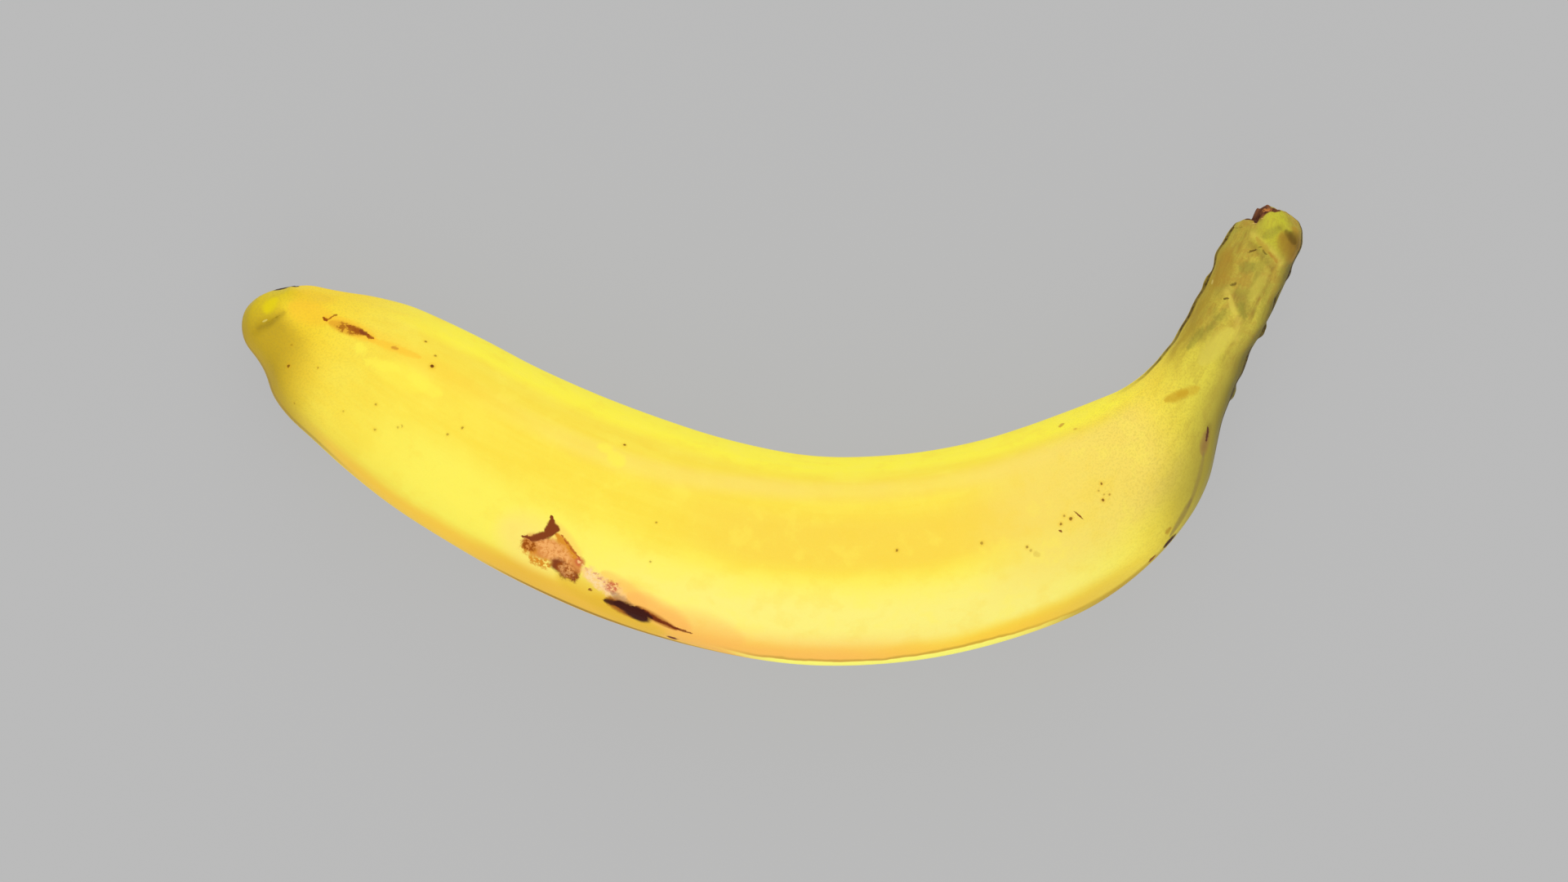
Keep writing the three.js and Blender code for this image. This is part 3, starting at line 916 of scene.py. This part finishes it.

# %% [markdown]
# ## The two ends
#
# The flower end stays green longest, and the neck is olive, because its fibres lie close under
# the peel. The stem has dried to a mottled brown, with dark lines along its two edges that are
# partly dry ridges and partly painted shade at the outline, and its outer flank darkens with
# painted shade. The fades are slanted by the angle round the fruit, which darkens the outer side
# of the neck earlier as painted shade, and they are broken up by noise so that no gradient looks
# sprayed on.

# %% The green and golden flower end
NOSE_OUTSIDE, NOSE_INSIDE = (0.94, 0.612, 0.028), (0.94, 0.682, 0.033)
NOSE_SHADE = (0.51, 0.342, 0.017)
NOSE_TIP = (0.71, 0.542, 0.017)
NOSE_OUTLINE_SHADE = (0.36, 0.21, 0.02)
nose = fade(maths("MULTIPLY_ADD", mottle, 8.0, far), 12.0, 27.0, 1.0, 0.0)
colour = tint(colour, tint(NOSE_OUTSIDE, NOSE_INSIDE, fade(lean, -30.0, 20.0)), nose)
shadow_side = fade(maths("MULTIPLY_ADD", lean, 0.16, far), 3.0, 18.0, 1.0, 0.0)
colour = tint(colour, NOSE_SHADE, product(shadow_side, fade(lean, 12.0, -14.0), 0.93))
tip = fade(maths("MULTIPLY_ADD", lean, -0.02, far), 1.0, 7.0, 1.0, 0.0)
colour = tint(colour, NOSE_TIP, product(tip, fade(lean, 50.0, 20.0)))
# Painted shade: a brown line along the outline on the outer side of the flower end.
colour = band(colour, NOSE_OUTLINE_SHADE, around, (-90, -86, -80, -74), (3, 8, 22, 36), 0.55)
print("nodes with the flower end:", len(tree_nodes.nodes))

# %% The olive neck
NECK, NECK_FIBRE = (0.7, 0.602, 0.063), (0.61, 0.492, 0.053)
NECK_OUTSIDE_SHADE = (0.34, 0.272, 0.043)
fibres = grain(pulled, 620, 4.0, 0.65, (0.22, 1, 1))
# The slant makes the olive neck start earlier on the outer side, as painted shade.
slanted = maths("ADD", maths("MULTIPLY", mottle, 8.0), maths("MULTIPLY_ADD", lean, -0.17, far))
neck = product(fade(slanted, 180.0, 202.0), fade(lean, 80.0, 20.0, 0.75, 1.0))
colour = tint(colour, tint(NECK, NECK_FIBRE, fade(fibres, 0.42, 0.66)), neck)
# Painted shade: the outer side of the neck is darkened where it turns away from the light.
outer_neck_shade = product(fade(lean, -4.0, -52.0), span(far, 168.0, 186.0, 204.0, 212.0))
colour = tint(colour, NECK_OUTSIDE_SHADE, product(outer_neck_shade, 0.85))
print("nodes with the neck:", len(tree_nodes.nodes))

# %% The dried stem
STEM, STEM_DEEP, STEM_FIBRE = (0.55, 0.452, 0.058), (0.45, 0.342, 0.048), (0.32, 0.212, 0.033)
STEM_BROWN, STEM_GREEN = (0.42, 0.22, 0.03), (0.36, 0.33, 0.04)
STEM_INSIDE, STEM_OUTSIDE_SHADE = (0.41, 0.282, 0.031), (0.15, 0.125, 0.03)
dried = fade(maths("MULTIPLY_ADD", mottle, 14.0, far), 205.0, 219.0)
light_stem = tint(STEM, STEM_DEEP, fade(mottle, 0.36, 0.62))
colour = tint(colour, tint(light_stem, STEM_FIBRE, fade(fibres, 0.44, 0.74)), dried)
blotches = grain(pulled, 330, 4.0, 0.7)
colour = tint(colour, STEM_BROWN, product(dried, fade(blotches, 0.5, 0.6, 0.0, 0.4)))
colour = tint(colour, STEM_GREEN, product(dried, fade(blotches, 0.5, 0.4, 0.0, 0.4)))
inner_flank = product(fade(lean, 15.0, 60.0), span(far, 192.0, 202.0, 214.0, 232.0))
colour = tint(colour, STEM_INSIDE, product(inner_flank, fade(fibres, 0.3, 0.6, 0.4, 0.9)))
# Painted shade: the stem's outer flank is darkened towards its outline.
colour = band(colour, STEM_OUTSIDE_SHADE, around, (-124, -96, -68, -34), (180, 202, 222, 228), 0.9)
print("nodes with the stem:", len(tree_nodes.nodes))

# %% Its green collar, dark edges and fine grain
COLLAR_GREEN = (0.51, 0.482, 0.033)
STEM_EDGE_BROWN_AND_SHADE = (0.035, 0.016, 0.004)
PORE_BROWN = (0.35, 0.252, 0.033)
green = product(span(far, 221.0, 225.0, 229.5, 232.5), fade(around, 28.0, -5.0), fade(around, -52.0, -25.0))
colour = tint(colour, COLLAR_GREEN, product(green, fade(mottle, 0.3, 0.6, 0.5, 0.95)))
# Dark lines along both edges of the stem: partly dry brown ridges, partly painted shade at the outline.
edge_brown_and_shade = maths("ADD", span(around, 76.0, 81.0, 86.0, 92.0), span(around, -94.0, -87.0, -79.0, -73.0))
edge_brown_and_shade = product(edge_brown_and_shade, fade(far, 180.0, 200.0), fade(blotches, 0.4, 0.55, 0.6, 0.95))
colour = tint(colour, STEM_EDGE_BROWN_AND_SHADE, edge_brown_and_shade)
grainy = maths("ADD", fade(far, 150.0, 190.0),
               maths("ADD", fade(far, 36.0, 8.0, 0.0, 0.8), product(dried, 0.5)))
fine = product(fade(grain(pulled, 2600, 2.0, 0.6), 0.42, 0.68), grainy)
colour = tint(colour, PORE_BROWN, product(fine, 0.24))
print("nodes with the collar and grain:", len(tree_nodes.nodes))

# %% [markdown]
# ## Torn tissue and flower scar
#
# The tear shows brown, stringy tissue on its wall and shelf, while the collar round it keeps
# its peel. The tissue's colour starts at the line along which the wall was raised, so colour
# and relief stay together. The flower scar at the other end is nearly black.

# %% Tissue and scar
TISSUE_DARK, TISSUE_LIGHT = (0.05, 0.012, 0.005), (0.24, 0.085, 0.03)
SCAR_BLACK = (0.05, 0.022, 0.008)
crest = fade(far, LENGTH + 0.4, LENGTH + 2.4, 0.0, -0.3)
wall_bend = maths("ADD", fade(upright_share, 0.0, 0.55, 0.24, -0.03),
                  fade(upright_share, 0.6, 1.0, 0.0, 0.28))
wall_line = maths("ADD", crest, wall_bend)
rim_peel = fade(sideways_share, 0.3, 0.5, 0.15, 1.9)
past_peel = fade(maths("SUBTRACT", far, rim_peel), LENGTH, LENGTH + 0.7)
past_wall = fade(maths("SUBTRACT", sideways_share, wall_line), -0.08, 0.02)
torn_tissue = product(past_peel, past_wall)
tissue_grain = grain(here, 900, 4.0, 0.6, (1, 0.15, 1))
tissue_colour = tint(TISSUE_DARK, TISSUE_LIGHT, fade(tissue_grain, 0.3, 0.7))
colour = tint(colour, tissue_colour, torn_tissue)
colour = tint(colour, SCAR_BLACK, fade(far, 0.55, 0.1))
print("nodes with the torn end:", len(tree_nodes.nodes))

# %% [markdown]
# ## Bruises and scuffs
#
# Where the peel was rubbed or knocked it has healed as cork: dark brown skins, tan scabs,
# pinkish scuffs, with an orange halo where the flesh below has browned. A brush could paint
# them on an image, but the marks are few, so each is a soft oval, laid on in layers from the
# widest halo to the darkest core, with its edge torn by noise.

# %% Ovals on the peel
def torn_places(amount):
    """The place on the fruit, shaken by fine noise of this size in mm."""
    node = tree_nodes.nodes.new("ShaderNodeTexNoise")
    feed(node.inputs["Vector"], here)
    for name, number in (("Scale", 1100.0), ("Detail", 5.0), ("Roughness", 0.7)):
        node.inputs[name].default_value = number
    parts = tree_nodes.nodes.new("ShaderNodeSeparateColor")
    feed(parts.inputs[0], node.outputs["Color"])
    shake = tree_nodes.nodes.new("ShaderNodeCombineXYZ")
    for socket, part in zip(shake.inputs, parts.outputs):
        feed(socket, maths("MULTIPLY_ADD", part, amount * MM, -0.5 * amount * MM))
    return arrows("ADD", shake.outputs[0], here)


EDGES = {"soft": here, "rough": torn_places(1.1), "ragged": torn_places(2.6)}
broken = fade(grain(here, 1500, 4.0, 0.65), 0.38, 0.56)
STEEPEST = 0.3  # how much a slope's normal must still look up


def oval(strength, x, y, length, breadth, angle, edge="rough", blur=0.35):
    """Strength inside an oval, 0 outside, drawn with two pins and a loop of string.

    Half the oval's length and breadth, in mm, are what the camera sees of it; on a
    slope the breadth is stretched to match.
    """
    along_it = Vector((math.cos(math.radians(angle)), math.sin(math.radians(angle)), 0))
    across_it = Vector((-along_it.y, along_it.x, 0))
    normal = place_and_normal(tree, x, y)[1]
    slope = normal.dot(across_it) / max(normal.z, STEEPEST)
    breadth = breadth * MM * math.hypot(1, slope)
    to_pin = along_it * math.sqrt(max(0, length ** 2 - (breadth / MM) ** 2))
    pins = [on_skin(tree, x + side * to_pin.x, y + side * to_pin.y) for side in (-1, 1)]
    half_gap = (pins[0] - pins[1]).length / 2
    string = maths("ADD", *(arrows("DISTANCE", EDGES[edge], tuple(pin), output=1) for pin in pins))
    outer, inner = (2 * math.hypot(half_gap, breadth * share) for share in (1 + blur, max(0, 1 - blur)))
    return fade(string, outer, inner, 0.0, strength)


def lay_on(colour, marks):
    """Lays a list of ovals on the colour; a strength below zero breaks one up into flecks."""
    for tint_colour, strength, *shape in marks:
        share = oval(abs(strength), *shape)
        if strength < 0:
            share = product(share, broken)
        colour = tint(colour, tint_colour, share)
    return colour


# %% Tints of healed and bruised peel
HALO = (0.92, 0.46, 0.10)
PINK = (0.93, 0.66, 0.21)
OCHRE = (0.78, 0.47, 0.03)
AMBER = (0.66, 0.25, 0.015)
GOLD = (0.92, 0.52, 0.03)
HONEY = (0.55, 0.32, 0.015)
CREAM = (0.84, 0.40, 0.12)
SCUFF = (0.91, 0.55, 0.22)
PALE = (0.92, 0.66, 0.34)
TAN = (0.66, 0.25, 0.055)
UMBER = (0.31, 0.07, 0.002)
SEPIA = (0.16, 0.022, 0.001)
RUST = (0.44, 0.10, 0.01)
RED = (0.55, 0.10, 0.035)
CORK = (0.22, 0.045, 0.008)
BLACK = (0.045, 0.006, 0.003)
LEMON = (0.95, 0.82, 0.075)
BULGE_GREEN_AND_HIGHLIGHT = (0.78, 0.63, 0.004)
SHADE = (0.32, 0.21, 0.004)
GLINT = (0.95, 0.85, 0.30)
BARK = (0.40, 0.21, 0.025)
MAUVE = (0.30, 0.13, 0.06)
KHAKI = (0.27, 0.19, 0.055)
PLUM = (0.10, 0.03, 0.02)
STRAW = (0.66, 0.56, 0.08)
MOSS = (0.24, 0.21, 0.03)
DARK = (0.08, 0.04, 0.006)

# %% The big scar on the outer side
SCAR = [
    (PINK, 0.4, -43.8, -20.2, 6.5, 3.4, -38, "soft", 1.0),
    (HALO, 0.45, -37.8, -19.3, 4.6, 1.0, -52, "soft", 1.0),
    (OCHRE, 0.7, -33.3, -29.0, 6.5, 1.4, -30, "soft", 1.0),
    (TAN, 1.0, -42.4, -20.5, 3.3, 2.0, -25, "rough", 0.35),
    (TAN, 1.0, -38.4, -22.3, 4.4, 1.9, -42, "rough", 0.35),
    (AMBER, 0.95, -37.6, -20.4, 3.0, 0.7, -52, "rough", 0.5),
    (CREAM, -1.0, -39.6, -21.6, 3.6, 1.6, -38, "ragged", 0.5),
    (CREAM, -0.9, -42.0, -20.2, 2.4, 0.9, -15, "ragged", 0.5),
    (AMBER, -0.9, -44.4, -20.7, 1.5, 1.5, 60, "ragged", 0.4),
    (AMBER, -1.0, -42.4, -23.2, 2.3, 0.9, -20, "ragged", 0.5),
    (UMBER, -1.0, -44.4, -20.1, 1.4, 1.1, -10, "ragged", 0.5),
    (RUST, 0.9, -36.6, -20.7, 3.4, 0.2, -52, "rough", 0.6),
    (RUST, 0.9, -33.7, -24.9, 1.0, 0.18, -58, "rough", 0.5),
    (CORK, 1.0, -40.2, -15.3, 0.7, 0.24, 88, "rough", 0.4),
    (CORK, 1.0, -40.2, -16.0, 0.85, 0.55, 86, "rough", 0.3),
    (CORK, 1.0, -40.2, -16.6, 0.9, 0.9, 80, "rough", 0.3),
    (CORK, 1.0, -40.2, -17.3, 1.45, 0.9, 5, "rough", 0.3),
    (CORK, 1.0, -42.1, -18.5, 2.4, 0.75, 16, "rough", 0.4),
    (CORK, 1.0, -44.4, -18.7, 1.5, 0.3, -8, "rough", 0.4),
    (CORK, 1.0, -39.1, -23.8, 1.35, 1.15, -50, "rough", 0.4),
    (UMBER, 1.0, -37.3, -25.0, 2.2, 1.2, -35, "rough", 0.4),
    (CORK, -1.0, -37.2, -25.4, 2.0, 1.2, -35, "ragged", 0.5),
    (TAN, -0.9, -36.7, -24.4, 1.1, 0.6, -30, "ragged", 0.5),
    (CREAM, -0.7, -37.5, -24.9, 1.5, 0.8, -40, "ragged", 0.7),
    (RED, 0.85, -35.1, -23.2, 0.95, 0.75, -60, "rough", 0.5),
    (SCUFF, 0.8, -35.2, -23.2, 0.4, 0.3, -60, "rough", 0.4),
]
print("ovals:", len(SCAR))

# %% The scuff, the black bruise and its tail
BRUISE = [
    (OCHRE, 0.8, -26.4, -33.2, 7.0, 1.2, -28, "soft", 1.0),
    (HALO, 0.5, -27.0, -28.3, 5.2, 1.1, -38, "soft", 1.0),
    (HALO, 0.4, -24.3, -30.1, 5.0, 1.5, -38, "soft", 1.0),
    (HALO, 0.8, -20.8, -32.6, 6.5, 1.5, -29, "soft", 1.0),
    (HALO, 0.42, -13.0, -35.3, 8.0, 1.9, -19, "soft", 1.0),
    (SCUFF, 0.75, -32.0, -26.5, 3.6, 1.1, -40, "ragged", 0.6),
    (SCUFF, 0.8, -28.8, -28.9, 2.4, 1.2, -38, "ragged", 0.6),
    (PALE, -0.9, -31.2, -27.2, 3.6, 1.0, -38, "ragged", 0.5),
    (RED, -0.9, -29.3, -27.8, 1.4, 1.0, -30, "ragged", 0.5),
    (RED, -0.6, -31.5, -26.0, 1.6, 0.3, -40, "ragged", 0.5),
    (UMBER, 0.8, -21.1, -33.5, 4.4, 0.5, -30, "soft", 1.0),
    (MAUVE, 0.55, -27.3, -30.2, 2.6, 0.5, -35, "rough", 0.9),
    (UMBER, 0.9, -27.3, -31.7, 3.4, 0.9, -33, "rough", 0.6),
    (SEPIA, 1.0, -22.1, -33.1, 2.6, 0.4, -31, "rough", 0.5),
    (SEPIA, 0.95, -19.1, -34.6, 2.6, 0.24, -25, "rough", 0.5),
    (SEPIA, 0.9, -16.7, -35.6, 2.3, 0.18, -18, "rough", 0.7),
    (BLACK, 0.95, -29.1, -30.7, 1.8, 0.4, -16, "rough", 0.7),
    (BLACK, 1.0, -27.2, -31.3, 2.0, 0.75, -26, "rough", 0.35),
    (BLACK, 1.0, -25.4, -32.4, 1.7, 1.05, -38, "rough", 0.35),
    (BLACK, 1.0, -24.1, -33.3, 1.25, 0.95, -38, "rough", 0.35),
    (BLACK, 1.0, -23.6, -32.4, 2.2, 0.35, -31, "rough", 0.5),
    (CORK, 0.9, -33.2, -28.3, 0.4, 0.25, -20, "rough", 0.4),
    (SEPIA, 1.0, -18.2, -37.1, 0.7, 0.3, -15, "rough", 0.4),
]
print("ovals:", len(BRUISE))

# %% The scuff and the lemon patches near the flower end
NOSE_MARKS = [
    (LEMON, 0.7, -75.2, 15.9, 1.1, 0.8, -20, "ragged", 0.9),
    (LEMON, 0.6, -71.2, 12.8, 3.6, 0.8, -14, "ragged", 0.6),
    (LEMON, 0.5, -67.7, 10.7, 5.0, 1.6, -24, "soft", 1.0),
    (LEMON, 0.5, -63.5, 9.1, 3.6, 1.0, -30, "ragged", 0.8),
    (LEMON, 0.7, -30.5, -2.4, 1.4, 0.8, -20, "rough", 0.6),
    (LEMON, 0.7, -28.4, -4.4, 1.8, 1.1, -40, "rough", 0.6),
    (AMBER, 0.2, -83.9, 25.3, 3.5, 1.0, -12, "soft", 1.0),
    (GOLD, 0.5, -84.4, 22.4, 4.0, 1.6, -20, "soft", 1.0),
    (GOLD, 0.75, -77.2, 19.5, 5.2, 0.9, -24, "soft", 1.0),
    (AMBER, 0.5, -77.8, 19.5, 3.4, 0.7, -20, "soft", 1.0),
    (GOLD, 0.6, -68.9, 15.8, 5.2, 0.5, -20, "rough", 1.0),
    (UMBER, -0.8, -77.4, 19.4, 2.6, 0.7, -18, "ragged", 0.8),
    (UMBER, 0.9, -75.7, 19.1, 2.3, 0.36, -26, "rough", 0.9),
    (CORK, 0.85, -74.5, 18.6, 1.2, 0.28, -30, "rough", 0.8),
    (UMBER, 0.9, -73.5, 18.0, 0.9, 0.3, -35, "rough", 0.5),
    (UMBER, 1.0, -81.7, 21.2, 0.7, 0.24, -25, "rough", 0.6),
    (UMBER, 0.9, -80.7, 21.4, 0.7, 0.12, 35, "rough", 0.9),
    (UMBER, 0.8, -79.9, 21.9, 0.4, 0.2, 10, "rough", 0.5),
    (RUST, 0.55, -68.9, 15.9, 0.7, 0.24, -12, "rough", 0.9),
    # The green oval on the knob's bulge is partly its greener peel and partly a painted highlight.
    (BULGE_GREEN_AND_HIGHLIGHT, 0.75, -91.7, 23.8, 1.6, 0.8, 55, "soft", 1.0),
    (SHADE, 0.25, -93.1, 19.8, 2.2, 0.8, 35, "soft", 1.0),
    (SHADE, 0.8, -91.1, 21.2, 1.6, 0.1, 28, "rough", 0.8),
    (GLINT, 0.35, -92.7, 20.9, 0.5, 0.12, 25, "soft", 1.0),
]
print("ovals:", len(NOSE_MARKS))

# %% Marks on the neck
NECK_MARKS = [
    (HONEY, 0.7, 74.0, 7.1, 2.4, 0.7, 22, "rough", 0.9),
    (HONEY, 0.5, 76.2, 7.9, 2.2, 0.7, 18, "rough", 0.9),
    (MAUVE, 0.5, 79.2, -1.5, 2.3, 0.5, 78, "soft", 1.0),
    (KHAKI, 0.75, 77.5, -8.3, 5.4, 0.36, 74, "soft", 1.0),
    (KHAKI, 0.7, 74.8, -15.1, 4.0, 0.34, 60, "soft", 1.0),
    (PLUM, 0.95, 79.7, 0.2, 1.5, 0.22, 84, "rough", 0.5),
    (RUST, 0.6, 53.0, 1.8, 0.7, 0.18, 45, "rough", 0.5),
    (RUST, 0.4, 55.6, 1.1, 0.4, 0.2, 20, "rough", 0.5),
    (CORK, 0.95, 56.2, -14.7, 1.25, 0.15, -41, "rough", 0.4),
    (CORK, 0.9, 52.8, -17.6, 0.5, 0.17, -35, "rough", 0.4),
    (UMBER, 0.2, 48.5, -21.8, 0.6, 0.4, -35, "rough", 0.8),
    (BLACK, 1.0, 72.8, -19.4, 1.7, 0.36, 47, "rough", 0.4),
    (CORK, 0.9, 69.6, -22.6, 0.9, 0.18, 43, "rough", 0.4),
    (UMBER, 0.5, 72.5, -17.5, 0.8, 0.3, 50, "rough", 0.8),
]
print("ovals:", len(NECK_MARKS))

# %% Marks on the stem
STEM_MARKS = [
    (BARK, 0.4, 82.6, 30.3, 3.4, 1.0, 65, "ragged", 1.0),
    (STRAW, 0.5, 84.1, 24.0, 1.7, 0.35, -78, "soft", 1.0),
    (STRAW, 0.75, 81.3, 16.2, 4.4, 1.2, 48, "soft", 1.0),
    (STRAW, 0.3, 89.2, 27.6, 3.5, 0.8, 62, "ragged", 1.0),
    (MOSS, 0.5, 86.0, 22.9, 1.6, 0.6, -65, "ragged", 1.0),
    (MOSS, 0.4, 81.3, 20.9, 2.8, 0.5, 48, "ragged", 1.0),
    (MOSS, 0.5, 77.5, 17.6, 2.4, 0.5, 50, "ragged", 1.0),
    (MOSS, 0.5, 86.9, 30.7, 1.5, 0.8, 10, "ragged", 0.9),
    (MOSS, 0.4, 91.4, 37.0, 1.8, 0.6, 30, "soft", 1.0),
    (BARK, 0.5, 90.1, 34.3, 2.4, 0.35, -50, "rough", 1.0),
    (BARK, 0.8, 92.2, 32.2, 1.9, 0.3, -45, "rough", 1.0),
    (BARK, 0.75, 94.3, 34.3, 2.8, 1.3, -64, "soft", 1.0),
    (BARK, 0.6, 95.9, 35.9, 2.2, 0.6, -75, "soft", 1.0),
    (DARK, 0.5, 94.9, 36.2, 1.6, 0.5, -54, "soft", 1.0),
    (DARK, 0.25, 94.6, 34.6, 2.2, 1.2, -64, "soft", 1.0),
    (DARK, 0.4, 95.6, 35.6, 1.8, 0.7, -65, "soft", 1.0),
    (DARK, 0.8, 87.8, 33.6, 0.8, 0.14, 10, "rough", 0.8),
    (DARK, 0.8, 89.0, 34.0, 0.8, 0.14, 30, "rough", 0.8),
    (DARK, 0.6, 90.1, 33.4, 0.6, 0.14, -50, "rough", 0.8),
    (DARK, 0.7, 84.5, 27.6, 0.6, 0.2, 20, "rough", 0.9),
    (DARK, 0.8, 83.1, 24.9, 0.6, 0.2, 10, "rough", 0.9),
    (GLINT, 0.3, 80.6, 28.0, 0.4, 0.12, 70, "soft", 0.8),
    (TAN, -0.8, 90.4, 41.0, 0.9, 0.6, -30, "ragged", 0.6),
    (SCUFF, 0.6, 88.9, 39.1, 1.1, 0.12, 22, "rough", 0.6),
]
print("ovals:", len(STEM_MARKS))

# %% Lay on the creases' shading and all the marks
CREASE_SHADE, FOLD_LIGHT = (0.16, 0.09, 0.02), (0.72, 0.56, 0.09)
colour = tint(colour, CREASE_SHADE, product(from_skin("creased", "Fac"), 0.3))
colour = tint(colour, FOLD_LIGHT, product(from_skin("folded", "Fac"), 0.35))
for marks in (SCAR, BRUISE, NOSE_MARKS, NECK_MARKS, STEM_MARKS):
    colour = lay_on(colour, marks)
    print("nodes with", len(marks), "more marks:", len(tree_nodes.nodes))

# %% Freckles
FRECKLE_SHAKE = 0.4 * MM  # by which noise shakes a freckle's outline
FRECKLE_BROWN, FRECKLE_HALO = (0.17, 0.045, 0.001), (0.74, 0.38, 0.01)
freckle_place = from_skin("freckle_place", "Vector")
from_middle = arrows("SUBTRACT", here, freckle_place)
shaken = arrows("SUBTRACT", grain(here, 2200, 2.0, 0.6), (0.5, 0.5, 0.5))
shaken = arrows("MULTIPLY_ADD", shaken, (FRECKLE_SHAKE, FRECKLE_SHAKE, FRECKLE_SHAKE), from_middle)
reach_share = maths("DIVIDE", arrows("LENGTH", shaken, output=1), from_skin("freckle_size", "Fac"))
freckle = product(fade(reach_share, 1.1, 0.55), from_skin("freckle_dark", "Fac"))
freckle_halo = product(fade(reach_share, 2.6, 0.9), from_skin("freckle_dark", "Fac"))
colour = tint(colour, FRECKLE_HALO, product(freckle_halo, 0.35))
colour = tint(colour, FRECKLE_BROWN, freckle)
print("nodes with the freckles:", len(tree_nodes.nodes))

# %% [markdown]
# ## The finish
#
# The peel has a faint waxy sheen and lets a little light in. Strong gloss would turn the dark
# marks grey, so the specular level is low. Pores and fibres are too small to model, and a
# bump of a few tenths of a millimetre gives them.

# %% The finish
shader = tree_nodes.nodes.new("ShaderNodeBsdfPrincipled")
feed(shader.inputs["Base Color"], colour)
shader.inputs["Specular IOR Level"].default_value = 0.05
shader.inputs["Subsurface Weight"].default_value = 0.05
shader.inputs["Subsurface Radius"].default_value = (0.0018, 0.0012, 0.0004)
shader.inputs["Subsurface Scale"].default_value = 1.0
roughness = maths("ADD", fade(streaks, 0.3, 0.7, 0.40, 0.50), product(dried, 0.12))
feed(shader.inputs["Roughness"], roughness)
pores = grain(pulled, 2200, 3.0, 0.6)
fibres_bump = grain(pulled, 900, 3.0, 0.6, (0.06, 1, 1))
relief = maths("ADD", product(pores, 0.5), product(fibres_bump, 0.5))
bump = tree_nodes.nodes.new("ShaderNodeBump")
bump.inputs["Strength"].default_value = 0.35
bump.inputs["Distance"].default_value = 0.0003
feed(bump.inputs["Height"], relief)
feed(shader.inputs["Normal"], bump.outputs[0])
output = tree_nodes.nodes.new("ShaderNodeOutputMaterial")
feed(output.inputs["Surface"], shader.outputs[0])
skin.data.materials.append(peel)
print("peel nodes:", len(tree_nodes.nodes))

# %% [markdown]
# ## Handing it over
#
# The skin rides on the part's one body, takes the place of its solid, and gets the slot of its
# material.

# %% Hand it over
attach(skin, "root")
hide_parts("banana")
